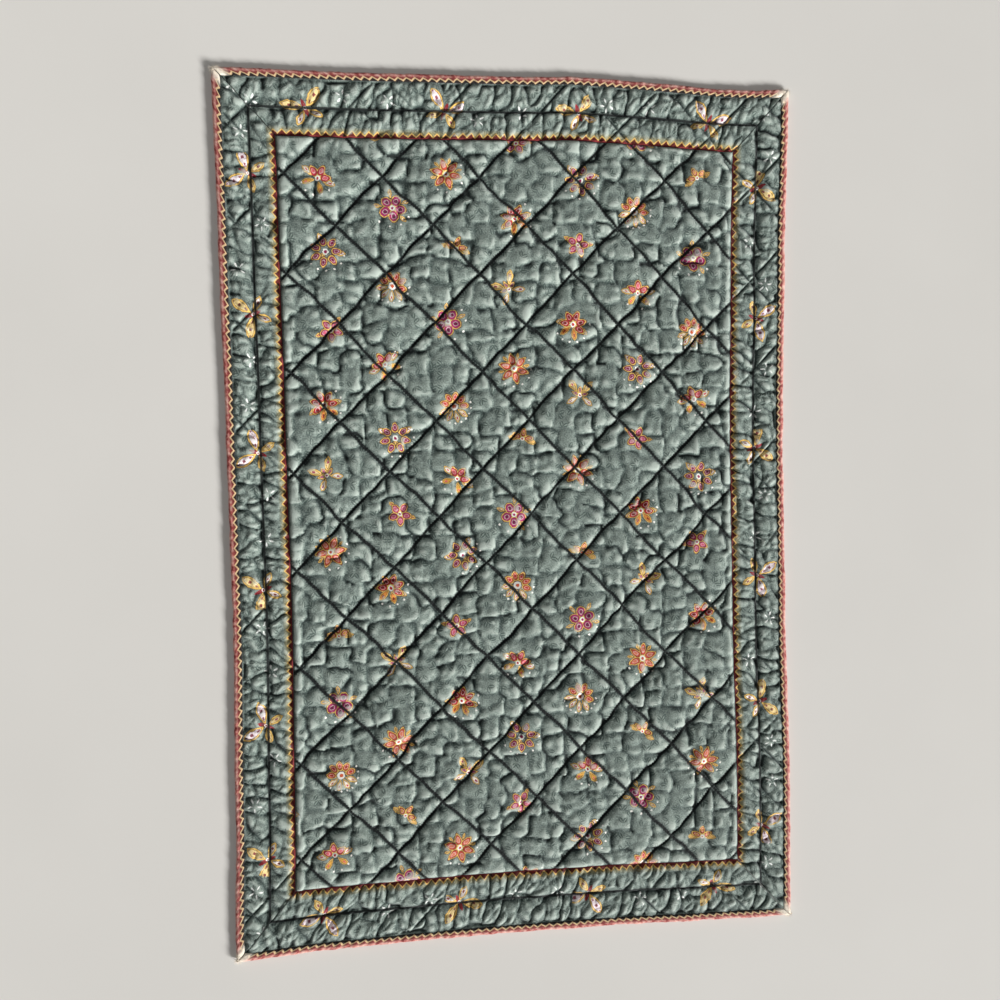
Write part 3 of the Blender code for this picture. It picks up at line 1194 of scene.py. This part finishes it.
class BindingTape(Finish):
    """Printed tape: a cream zigzag on dark red beside the ditch, and a washed-out coral fold."""

    def __init__(self, name: str, inks: TapeInks) -> None:
        """Wires the finish. The map runs along the mat's edge, and from the ditch round the fold."""
        super().__init__(
            name, roughness=0.88, sheen_weight=0.25, sheen_roughness=0.5, specular_ior_level=0.25
        )
        along, over = self.flat()
        place = self.joined(along, over)
        wave = abs((along * (1.0 / 4.8)).math("FRACT") - 0.5) * 2.0
        uneven = (self.noise(place, 0.5, 2.0) - 0.5) * 0.7
        edge = wave * 1.8 + uneven + 0.55
        colour = self.blend(over > edge, linear("#1f1413"), inks.maroon)
        line = abs(over - edge).ramp(0.6, 0.3)
        colour = self.blend(line, colour, inks.cream)
        fold = (over + uneven).ramp(2.3, 3.3)
        blotch = self.noise(place, 0.35, 3.0)
        worn = self.blend(blotch.ramp(0.42, 0.66), inks.coral, inks.pale)
        red = self.blend((blotch - 0.1 + uneven * 0.2).ramp(0.26, 0.34), linear("#8c3a36"), worn)
        colour = self.blend(fold, colour, red)
        tip = (self.attribute("wear") + uneven * 0.5).ramp(0.25, 0.8)
        colour = self.blend(tip, colour, inks.tip)
        self.colour(colour)
        ribs = (along * (2.0 * math.pi / 0.7)).math("SINE") * (over * (2.0 * math.pi / 0.6)).math("SINE")
        self.bump(ribs * 0.15 + self.noise(place, 1.6, 3.0) * 0.9, 0.25 * MM)


class Thread(Finish):
    """Dark cotton thread, twisted."""

    def __init__(self, name: str, colour: Colour) -> None:
        """Wires the finish. The twist runs along the stitch's own map, with painted shade between its plies.
        """
        super().__init__(name, roughness=0.7, specular_ior_level=0.3)
        along, around = self.flat()
        twist = ((along * 5.2 + around).math("SINE")) * 0.5 + 0.5
        # painted shade: the twist's grooves at 0.55 of the thread's colour
        tint = self.blend(twist, tuple(c * 0.55 for c in colour), colour)
        self.colour(tint)
        self.bump(twist, 0.06 * MM)


class Fibre(Finish):
    """Loose undyed cotton fibre."""

    def __init__(self, name: str) -> None:
        """Wires the finish: one pale colour, a little uneven from place to place."""
        super().__init__(name, roughness=0.9, specular_ior_level=0.2)
        place = self.node("ShaderNodeTexCoord", output="Object")
        self.colour(self.blend(self.noise(place, 220.0, 1.0), linear("#d9c8b4"), linear("#f4ede0")))


class Paper(Finish):
    """The plain pale floor."""

    def __init__(self, name: str) -> None:
        """Wires the finish: a faint mottle on off-white."""
        super().__init__(name, roughness=0.85)
        place = self.node("ShaderNodeTexCoord", output="Object")
        mottle = self.noise(place, 9.0, 3.0)
        self.colour(self.blend(mottle, linear("#cfccc6"), linear("#d6d3cd")))


# ---------------------------------------------------------------------------------------------------------
# Pieces
# ---------------------------------------------------------------------------------------------------------


@dataclass
class CentrePanel:
    """The diamond-quilted panel inside the border."""

    lay: Lay
    lattice: Lattice
    crinkle: Crinkle = field(default_factory=Crinkle)
    lumps: Unevenness = field(default_factory=lambda: Unevenness(43))
    seam_roll: float = 3.2 * MM
    RELIEF_REACH = 2
    RELIEF_SCALE = 0.42 * MM
    BOTTOM_POINTS = 12
    MOTIF_REACH = 13.5 * MM

    def height(self, u: Array, v: Array) -> Array:
        """Top of the panel: pillows between the rows, pressed by crinkles, and rolled down to the seam."""
        near = soft_min(*self.lattice.distances(u, v), 1.0 * MM)
        near = np.maximum(near, 0.0)
        pillow = 0.5 * rounded(near, 2.6 * MM, 2.2) + 0.5 * rounded(near, 13.0 * MM)
        lump = 1.0 + 0.12 * self.lumps.at(u, v, 31.0 * MM)
        fine = 0.26 * self.lumps.at(v, u, 3.8 * MM) + 0.3 * self.lumps.at(v, u, 8.5 * MM)
        pressed = self.crinkle.pressed(u, v, near) * np.clip(near / (1.5 * MM), 0.0, 1.0)
        roll = rounded(SEAM.inside(u, v), self.seam_roll)
        crown = PANEL_CROWN * lump * pillow + fine * MM * pillow - pressed
        return np.maximum(STITCHED_HEIGHT + crown * roll, LOWEST_FOLD)

    def build(self, material: bpy.types.Material) -> None:
        """Makes the panel and its print."""
        panel = SEAM.inset(PIECE_GAP / 2.0)
        across = self.lattice.grid_lines(panel.left, panel.right, self.lattice.u, self.lattice.half_u)
        along = self.lattice.grid_lines(panel.bottom, panel.top, self.lattice.v, self.lattice.half_v)
        u, v = np.meshgrid(across, along)
        z = self.height(u, v)
        # relief, the height above the local average, sets the painted shade in the valleys and the painted
        # highlight and wear on the ridges
        relief = (z - blurred(z, self.RELIEF_REACH)) / self.RELIEF_SCALE
        # row: distance to the nearest row of stitching, which sets the painted shade along the rows
        row = np.minimum(*self.lattice.distances(u, v)) / MM
        u, v = self.lattice.wandered(u, v)
        under_u = np.linspace(panel.right, panel.left, self.BOTTOM_POINTS)
        under_u, under_v = np.meshgrid(under_u, along)
        flat_u, flat_v = np.hstack([u, under_u]), np.hstack([v, under_v])
        x, y = self.lay(flat_u, flat_v)
        under = np.zeros_like(under_u)
        piece = Swept("centre_panel_cloth", np.stack([x, y, np.hstack([z, under])], axis=-1))
        piece.flat_map(flat_u, flat_v)
        piece.per_point("relief", np.hstack([relief, under]))
        piece.per_point("row", np.hstack([row, under + FAR_FROM_ROWS]))
        front = np.hstack([np.ones_like(u), under])
        piece.per_point("front", front)
        press_print(piece, flat_u, flat_v, front, PanelPrint().placed(), self.MOTIF_REACH)
        piece.dress(material, "centre_panel")
        log.info("centre panel: %d by %d points on top", *z.shape)


@dataclass
class BorderStrip:
    """One mitred border strip: two puckered rolls beside a sewn channel, and a thin edge in the binding."""

    side: Side
    lay: Lay
    lattice: Lattice
    step: float = 0.75 * MM
    roll_points: int = 45
    fold: float = 3.1 * MM
    RELIEF_REACH = 3
    RELIEF_SCALE = 0.5 * MM
    MOTIF_REACH = 18.5 * MM

    def __post_init__(self) -> None:
        """Draws this side's own unevenness."""
        seed = 90 + 7 * list(Side).index(self.side)
        self.bends = [Unevenness(seed + k) for k in range(4)]
        self.scatter = Scatter(seed + 300, jitter=0.9, squareness=3.0)
        inner, outer = SEAM.side_ends(self.side), DITCH.side_ends(self.side)
        self.length = float(np.linalg.norm(inner[1] - inner[0]))
        direction = (inner[1] - inner[0]) / self.length
        self.direction = direction
        self.outward = np.array([direction[1], -direction[0]])
        self.width = float((outer[0] - inner[0]) @ self.outward)

    def own(self, u: Array, v: Array) -> tuple[Array, Array]:
        """Flat coordinates along the side, from the mat's middle, and out from the seam."""
        seam = SEAM.side_ends(self.side)[0] @ self.outward
        along = u * self.direction[0] + v * self.direction[1]
        return along, u * self.outward[0] + v * self.outward[1] - seam

    def folds(self, along: Array, out: Array, near: Array, rows: Array) -> Array:
        """How deep the folds across the strip are, 0 to 1: long slanting blocks, one or two to a roll.

        The folds open into wedges towards the strip's sewn lines, "near" being the distance to the nearest.
        The panel's rows go on across the strip as creases, "rows" being the distance to the nearest.
        """
        roll = (out > self.width / 2.0).astype(float)
        bend, shake, fade, _ = self.bends
        moved = along + 2.6 * MM * bend.at(along, out + roll * 90.0 * MM, 15.0 * MM) + 0.25 * out
        moved = moved + 0.9 * MM * shake.at(along, out, 5.0 * MM)
        gap, chance, lean = self.scatter.borders(moved / (8.6 * MM), out / (17.0 * MM) + roll * 7.0)
        gap = gap * 10.0 * MM
        deep = np.clip((0.35 + 0.9 * chance) * (0.95 + 0.4 * fade.at(along, out, 14.0 * MM)), 0.0, 1.0)
        deep = deep * (0.62 + 0.55 * np.exp(-near / (3.5 * MM)))
        open_by = 0.7 + 0.9 * np.exp(-near / (2.2 * MM))
        small, _, _ = self.scatter.borders(moved / (5.2 * MM) + 31.0, out / (8.0 * MM) + roll * 9.0)
        fine = 0.3 * trough(small * 6.5 * MM, 0.9 * MM)
        large = deep * (0.68 * trough(gap / open_by, 0.95 * MM) + 0.32 * trough(gap, 2.4 * MM))
        kept = np.clip(0.45 + 0.8 * fade.at(out, along, 19.0 * MM), 0.0, 0.85)
        large = np.maximum(large, kept * trough(rows, 0.95 * MM))
        return large + fine * (1.0 - large)

    def height(self, along: Array, out: Array, rows: Array) -> Array:
        """Top of the strip: two rolls with folds across them."""
        half = self.width / 2.0
        near = np.minimum(np.abs(out - half), np.minimum(np.abs(out), np.abs(self.width - out)))
        crown = 0.5 * rounded(near, 2.2 * MM, 2.2) + 0.5 * rounded(near, 8.0 * MM)
        bend, shake, _, _ = self.bends
        fine = 0.2 * shake.at(out, along, 3.4 * MM) + 0.3 * bend.at(out, along, 8.0 * MM)
        pressed = self.folds(along, out, near, rows) * np.clip(near / (1.2 * MM), 0.0, 1.0)
        outward = np.clip(out / self.width * 2.0 - 1.0, 0.0, 1.0)
        base = STITCHED_HEIGHT + (DITCH_HEIGHT - STITCHED_HEIGHT) * outward
        top = base + BORDER_CROWN * crown + fine * MM * crown - self.fold * pressed
        return np.maximum(top, LOWEST_FOLD)

    def build(self, material: bpy.types.Material) -> None:
        """Makes the strip and its print."""
        steps = int(np.linalg.norm(np.diff(DITCH.side_ends(self.side), axis=0)) / self.step)
        share = np.linspace(0.0, 1.0, steps)[:, None]
        seam = SEAM.inset(-PIECE_GAP / 2.0)
        ditch = DITCH.inset(PIECE_GAP)
        raw_edge = MAT.inset(2.4 * MM)
        out = np.linspace(0.0, 1.0, self.roll_points)[None, :] + 0.0 * share
        u, v = mitred(seam, ditch, self.side, out, share + 0.0 * out)
        along, across = self.own(u, v)
        rows = np.minimum(*self.lattice.distances(u, v))
        z = self.height(along, np.clip(across, 0.0, self.width), rows)
        # relief, the height above the local average, sets the painted shade in the valleys and the painted
        # highlight and wear on the ridges
        relief = (z - blurred(z, self.RELIEF_REACH)) / self.RELIEF_SCALE
        half = self.width / 2.0
        # distance to the channel and to the ditch, which sets the painted shade along them
        row = np.minimum(np.abs(across - half), self.width - across + 0.5 * MM) / MM
        edge_u, edge_v = mitred(seam, raw_edge, self.side, np.ones_like(share), share)
        under_u, under_v = u[:, [-1, 0]], v[:, [-1, 0]]
        flat_u = np.hstack([u, edge_u, edge_u, under_u[:, :1], under_u])
        flat_v = np.hstack([v, edge_v, edge_v, under_v[:, :1], under_v])
        level = np.ones_like(share)
        heights = (RAW_EDGE_TOP, RAW_EDGE_BASE, RAW_EDGE_BASE, 0.0, 0.0)
        tucked = np.hstack([height * level for height in heights])
        x, y = self.lay(flat_u, flat_v)
        piece = Swept(f"border_{self.side.value}_cloth", np.stack([x, y, np.hstack([z, tucked])], axis=-1))
        map_u, map_v = self.own(flat_u, flat_v)
        piece.flat_map(map_u, map_v)
        rest = np.zeros_like(tucked)
        piece.per_point("relief", np.hstack([relief, rest]))
        piece.per_point("row", np.hstack([row, rest + FAR_FROM_ROWS]))
        front = np.hstack([np.ones_like(z), rest])
        piece.per_point("front", front)
        press_print(piece, map_u, map_v, front, BorderPrint(self.side).placed(), self.MOTIF_REACH)
        piece.dress(material, f"border_{self.side.value}")
        log.info("border %s: %d by %d points on top", self.side.value, *z.shape)


@dataclass
class BindingStrip:
    """One side of the binding: a tape folded over the raw edge, front to back, mitred at both corners."""

    side: Side
    lay: Lay
    step: float = 0.8 * MM
    leg_points: int = 7
    fold_points: int = 9
    crimp: float = 4.8 * MM
    WEAR_REACH = 9.0 * MM

    def __post_init__(self) -> None:
        """Draws this side's own unevenness."""
        self.pulls = Unevenness(140 + 5 * list(Side).index(self.side))

    def section(self, inward: float) -> tuple[Array, Array]:
        """The folded tape's section, from the ditch over the fold to the ditch again underneath.

        Both legs are level and the fold is half a circle. Going inward by the tape's thickness gives its
        inner face.

        Args:
            inward: how far inside the outer face.

        Returns:
            Distance out from the ditch, and height.
        """
        radius = BINDING_HEIGHT / 2.0
        centre = BINDING_WIDTH - radius
        leg = np.linspace(0.0, centre, self.leg_points)[:-1]
        turn = np.linspace(0.0, math.pi, self.fold_points)
        out = np.concatenate([leg, centre + np.sin(turn) * (radius - inward), leg[::-1]])
        plump = rounded(leg, 1.4 * MM) * 0.5 * MM - 0.5 * MM
        over = radius * 2.0 - inward + plump
        round_edge = radius + np.cos(turn) * (radius - inward)
        height = np.concatenate([over, round_edge, leg * 0.0 + inward])
        return out, height

    def build(self, material: bpy.types.Material) -> None:
        """Makes the folded tape."""
        length = float(np.linalg.norm(np.diff(MAT.side_ends(self.side), axis=0)))
        share = np.linspace(0.0, 1.0, int(length / self.step))[:, None]
        outer_out, outer_z = self.section(0.0)
        inner_out, inner_z = self.section(TAPE_THICKNESS)
        out = np.concatenate([outer_out, inner_out[::-1]])[None, :] + 0.0 * share
        z = np.concatenate([outer_z, inner_z[::-1]])[None, :] + 0.0 * share
        along = share * length
        top = z > BINDING_HEIGHT * 0.5
        wide_pull = self.pulls.at(along, along * 0.0, 6.0 * MM)
        fine_pull = self.pulls.at(along, along * 0.0 + 1.0, 2.2 * MM)
        pull = wide_pull * 0.22 + fine_pull * 0.16
        pinch = trough((along / self.crimp - np.rint(along / self.crimp)) * self.crimp, 1.0 * MM)
        sink = (pull * 0.9 - 0.45 * pinch) * MM * (1.0 - out / BINDING_WIDTH * 0.5)
        z = np.maximum(z + np.where(top, sink, 0.0), 0.0)
        out = out + pull * MM * np.clip(out / BINDING_WIDTH, 0.0, 1.0) ** 2
        u, v = mitred(DITCH, MAT, self.side, out / BINDING_WIDTH, share + 0.0 * out)
        x, y = self.lay(u, v)
        piece = Swept(f"binding_{self.side.value}_tape", np.stack([x, y, z], axis=-1))
        over = np.concatenate([[0.0], np.cumsum(np.hypot(np.diff(outer_out), np.diff(outer_z)))])
        over = np.concatenate([over, over[::-1]])[None, :] + 0.0 * share
        piece.flat_map(along + 0.0 * over, over)
        to_corner = np.minimum(along, length - along)
        piece.per_point("wear", np.clip(1.0 - to_corner / self.WEAR_REACH, 0.0, 1.0) + 0.0 * over)
        piece.dress(material, f"binding_{self.side.value}")
        log.info("binding %s: %d sections", self.side.value, len(share))


@dataclass
class Stitches:
    """Running stitches in one joined mesh: short fat threads that dive into the cloth at both ends."""

    name: str
    pitch: float = 2.9 * MM
    long: float = 2.5 * MM
    radius: float = 0.36 * MM
    dive: float = 0.45 * MM
    RINGS = 5
    AROUND = 6

    def template(self) -> tuple[Array, Array, Array]:
        """One stitch along +X: rings of a tube that thins and dips towards its ends, with pointed tips.

        Returns:
            Its points, its triangles and its map.
        """
        share = np.linspace(-0.8, 0.8, self.RINGS)
        turn = np.arange(self.AROUND) * 2.0 * math.pi / self.AROUND
        thick = np.sqrt(1.0 - share**2) * self.radius
        rings = np.stack(
            [
                np.repeat(share[:, None] * self.long / 2.0, self.AROUND, axis=1),
                np.cos(turn)[None, :] * thick[:, None],
                np.sin(turn)[None, :] * thick[:, None] - self.dive * share[:, None] ** 2,
            ],
            axis=-1,
        ).reshape(-1, 3)
        tips = np.array([[-self.long / 2.0, 0.0, -self.dive], [self.long / 2.0, 0.0, -self.dive]])
        quads = grid_quads(self.RINGS, self.AROUND, closed=True)
        sides = np.concatenate([quads[:, [0, 1, 2]], quads[:, [0, 2, 3]]])
        count = len(rings)
        ring = np.arange(self.AROUND)
        after = (ring + 1) % self.AROUND
        last = count - self.AROUND
        starts = np.stack([np.full_like(ring, count), after, ring], axis=-1)
        ends = np.stack([np.full_like(ring, count + 1), last + ring, last + after], axis=-1)
        points = np.concatenate([rings, tips])
        triangles = np.concatenate([sides, starts, ends])
        if signed_volume(points, triangles) < 0.0:
            triangles = triangles[:, ::-1]
        around = np.concatenate([np.tile(turn, self.RINGS), [0.0, 0.0]]) * MM
        return points, triangles, np.stack([points[:, 0], around], axis=-1)

    def build(self, places: Array, directions: Array, material: bpy.types.Material) -> None:
        """Copies the stitch to each place.

        Args:
            places: the middle of each stitch.
            directions: the way that each stitch runs.
            material: the thread's finish.
        """
        points, triangles, flat = self.template()
        ahead = directions / np.linalg.norm(directions, axis=1, keepdims=True)
        aside = np.stack([-ahead[:, 1], ahead[:, 0], np.zeros(len(ahead))], axis=-1)
        aside = aside / np.linalg.norm(aside, axis=1, keepdims=True)
        up = np.cross(ahead, aside)
        frames = np.stack([ahead, aside, up], axis=1)
        moved = places[:, None, :] + np.einsum("pk,nkx->npx", points, frames)
        numbers = triangles[None] + (np.arange(len(places)) * len(points))[:, None, None]
        mesh = bpy.data.meshes.new(self.name)
        mesh.from_pydata(moved.reshape(-1, 3).tolist(), [], numbers.reshape(-1, 3).tolist())
        mesh.polygons.foreach_set("use_smooth", [True] * len(mesh.polygons))
        layer = mesh.uv_layers.new(name="flat")
        loops = np.empty(len(mesh.loops), dtype=np.int32)
        mesh.loops.foreach_get("vertex_index", loops)
        layer.uv.foreach_set("vector", np.tile(flat, (len(places), 1))[loops].astype(np.float32).ravel())
        piece = bpy.data.objects.new(self.name, mesh)
        bpy.context.scene.collection.objects.link(piece)
        piece.data.materials.append(material)
        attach(piece, "root")
        log.info("%s: %d stitches", self.name, len(places))


@dataclass
class QuiltingThread:
    """The stitches of the diamond rows and of the border's channels."""

    lay: Lay
    lattice: Lattice
    stitches: Stitches = field(default_factory=lambda: Stitches("quilting_thread"))
    stand: float = 0.22 * MM

    def diamond_rows(self) -> tuple[Array, Array]:
        """Middles of the stitches of both families, and points a little further along the same rows.

        A row of the first family keeps the sum of its counts, and of the second their difference, so its
        points come from stepping the other count. A step of 2 there goes one side of a diamond along the row.
        """
        length = math.hypot(self.lattice.half_u, self.lattice.half_v)
        step = 2.0 * self.stitches.pitch / length
        rows = np.arange(-30, 31) * 2.0
        other = np.arange(-30.0, 30.0, step)
        row, place = np.meshgrid(rows, other)
        found = []
        for slope in (1.0, -1.0):
            for ahead in (0.0, step * 0.2):
                first = (row + (place + ahead)) / 2.0
                second = (row - (place + ahead)) / 2.0 * slope
                u = self.lattice.u + first * self.lattice.half_u
                v = self.lattice.v + second * self.lattice.half_v
                found.append((u, v))
        starts = [np.stack(found[k], axis=-1).reshape(-1, 2) for k in (0, 2)]
        aheads = [np.stack(found[k], axis=-1).reshape(-1, 2) for k in (1, 3)]
        start, ahead = np.concatenate(starts), np.concatenate(aheads)
        keep = SEAM.inside(start[:, 0], start[:, 1]) > 2.0 * MM
        return start[keep], ahead[keep]

    def channel_rows(self) -> tuple[Array, Array]:
        """The same for the channel in the middle of each border strip."""
        starts, aheads = [], []
        for side in Side:
            inner, outer = SEAM.side_ends(side), DITCH.side_ends(side)
            ends = (inner + outer) / 2.0
            length = np.linalg.norm(ends[1] - ends[0])
            share = (np.arange(int(length / self.stitches.pitch)) + 0.5) * self.stitches.pitch / length
            for found, extra in ((starts, 0.0), (aheads, 0.4 * MM / length)):
                found.append(ends[0] + (ends[1] - ends[0]) * (share + extra)[:, None])
        return np.concatenate(starts), np.concatenate(aheads)

    def build(self, material: bpy.types.Material) -> None:
        """Makes all the stitches, on the height that the rows are sewn down to."""
        start, ahead = (np.concatenate(pair) for pair in zip(self.diamond_rows(), self.channel_rows()))
        laid = []
        for points in (start, ahead):
            x, y = self.lay(*self.lattice.wandered(points[:, 0], points[:, 1]))
            laid.append(np.stack([x, y, np.full_like(x, STITCHED_HEIGHT + self.stand)], axis=-1))
        self.stitches.build(laid[0], laid[1] - laid[0], material)


@dataclass
class CornerFray:
    """Loose fibres at the four worn corners, in one joined mesh of thin three-sided tubes."""

    lay: Lay
    name: str = "corner_fray"
    each: int = 90
    spread: float = 3.4 * MM
    shortest: float = 1.0 * MM
    longest: float = 2.6 * MM
    radius: float = 0.07 * MM
    RINGS = 4
    AROUND = 3

    def build(self, material: bpy.types.Material) -> None:
        """Scatters the fibres round each corner's tip, each one pointing out and curling."""
        chance = np.random.default_rng(17)
        corners = np.array([MAT.side_ends(side)[0] for side in Side])
        outward = np.sign(corners)
        count = self.each * len(corners)
        which = np.repeat(np.arange(len(corners)), self.each)
        back = chance.uniform(0.0, 1.0, (count, 2)) ** 2 * self.spread
        root = corners[which] - outward[which] * (back + 0.35 * MM)
        x, y = self.lay(root[:, 0], root[:, 1])
        edge = np.clip(1.0 - back.min(axis=1) / self.spread, 0.0, 1.0)
        z = (0.9 + 2.4 * (1.0 - edge**4) + chance.uniform(0.0, 0.7, count) * edge) * MM
        base = np.arctan2(outward[which, 1], outward[which, 0])
        turn = base + chance.uniform(-1.5, 1.5, count)
        length = chance.uniform(self.shortest, self.longest, count)
        curl = chance.uniform(-1.6, 1.6, count)
        rise = chance.uniform(-0.1, 0.45, count)
        share = np.linspace(0.0, 1.0, self.RINGS)
        heading = turn[:, None] + curl[:, None] * share
        middle = np.stack(
            [
                x[:, None] + np.cos(heading) * share * length[:, None],
                y[:, None] + np.sin(heading) * share * length[:, None],
                np.maximum(z[:, None] + rise[:, None] * share * length[:, None], 0.3 * MM),
            ],
            axis=-1,
        )
        around = np.arange(self.AROUND) * 2.0 * math.pi / self.AROUND
        thick = self.radius * (1.0 - 0.6 * share)[None, :, None]
        aside = np.stack([-np.sin(heading), np.cos(heading)], axis=-1)[:, :, None, :]
        rings = np.repeat(middle[:, :, None, :], self.AROUND, axis=2)
        rings[..., :2] += aside * (np.cos(around) * thick)[..., None]
        rings[..., 2] += np.sin(around) * thick
        quads = grid_quads(self.RINGS, self.AROUND, closed=True)
        last = self.RINGS * self.AROUND
        triangles = np.concatenate(
            [quads[:, [0, 1, 2]], quads[:, [0, 2, 3]], [[2, 1, 0]], [[last - 3, last - 2, last - 1]]]
        )
        if signed_volume(rings[0].reshape(-1, 3), triangles) < 0.0:
            triangles = triangles[:, ::-1]
        numbers = triangles[None] + (np.arange(count) * last)[:, None, None]
        mesh = bpy.data.meshes.new(self.name)
        mesh.from_pydata(rings.reshape(-1, 3).tolist(), [], numbers.reshape(-1, 3).tolist())
        piece = bpy.data.objects.new(self.name, mesh)
        bpy.context.scene.collection.objects.link(piece)
        piece.data.materials.append(material)
        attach(piece, "root")
        log.info("%s: %d fibres", self.name, count)


# ---------------------------------------------------------------------------------------------------------
# Setting
# ---------------------------------------------------------------------------------------------------------


@dataclass(frozen=True)
class Studio:
    """A plain pale floor, a low soft key light from the near right, and a soft fill."""

    floor_size: float = 6.0
    key_place: tuple[float, float, float] = (2.2, -2.0, 1.2)
    key_spread: float = 13.0
    key_strength: float = 6.1
    fill_place: tuple[float, float, float] = (-0.5, 0.5, 1.6)
    fill_size: float = 1.6
    fill_power: float = 5.0
    ambient: float = 0.16

    def hang(self, data: bpy.types.Light, place: tuple[float, float, float]) -> None:
        """Puts a light at a place, turned to face the mat."""
        lamp = bpy.data.objects.new(data.name, data)
        lamp.location = place
        away = np.array(place)
        tilt = math.acos(away[2] / float(np.linalg.norm(away)))
        lamp.rotation_euler = (tilt, 0.0, math.atan2(-away[1], -away[0]) - math.pi / 2.0)
        bpy.context.scene.collection.objects.link(lamp)

    def build(self) -> None:
        """Makes the floor, the lights and the pale surroundings."""
        half = self.floor_size / 2.0
        mesh = bpy.data.meshes.new("floor")
        corners = [(-half, -half, 0.0), (half, -half, 0.0), (half, half, 0.0), (-half, half, 0.0)]
        mesh.from_pydata(corners, [], [(0, 1, 2, 3)])
        mesh.materials.append(Paper("floor_paper").material)
        floor = bpy.data.objects.new("floor", mesh)
        bpy.context.scene.collection.objects.link(floor)
        key = bpy.data.lights.new("key", "SUN")
        key.angle = math.radians(self.key_spread)
        key.energy = self.key_strength
        self.hang(key, self.key_place)
        fill = bpy.data.lights.new("fill", "AREA")
        fill.size = self.fill_size
        fill.energy = self.fill_power
        self.hang(fill, self.fill_place)
        world = bpy.data.worlds.new("surroundings")
        world.use_nodes = True
        background = world.node_tree.nodes["Background"]
        background.inputs["Color"].default_value = (1.0, 1.0, 1.0, 1.0)
        background.inputs["Strength"].default_value = self.ambient
        bpy.context.scene.world = world
        bpy.context.scene.view_settings.view_transform = "Standard"


@dataclass(frozen=True)
class Viewpoint:
    """A camera nearly straight above the mat, a little to the left of its middle."""

    place: tuple[float, float, float] = (-78.35 * MM, 29.69 * MM, 515.35 * MM)
    turn: tuple[float, float, float] = (-2.229, -7.567, -0.913)
    lens: float = 32.4
    sensor: float = 36.0

    def build(self) -> None:
        """Makes the scene's camera. Lens and sensor are in millimetres, and the turn in degrees."""
        data = bpy.data.cameras.new("camera")
        data.lens = self.lens
        data.sensor_width = self.sensor
        data.clip_start = 0.01
        camera = bpy.data.objects.new("camera", data)
        camera.location = self.place
        camera.rotation_euler = [math.radians(angle) for angle in self.turn]
        bpy.context.scene.collection.objects.link(camera)
        bpy.context.scene.camera = camera


def main() -> None:
    """Builds the camera, the setting and every piece in order."""
    logging.basicConfig(level=logging.INFO, format="%(name)s: %(message)s")
    Viewpoint().build()
    Studio().build()
    lay = Lay()
    lattice = Lattice()
    inks = CottonInks()
    panel_cotton = PrintedCotton("panel_cotton", inks, trimmed=False).material
    border_cotton = PrintedCotton("border_cotton_print", inks, trimmed=True).material
    tape = BindingTape("zigzag_tape", TapeInks()).material
    thread = Thread("dark_thread", linear("#16211f")).material
    CentrePanel(lay, lattice).build(panel_cotton)
    for side in Side:
        BorderStrip(side, lay, lattice).build(border_cotton)
        BindingStrip(side, lay).build(tape)
    QuiltingThread(lay, lattice).build(thread)
    CornerFray(lay).build(Fibre("loose_fibre").material)


if __name__ == "__main__":
    main()
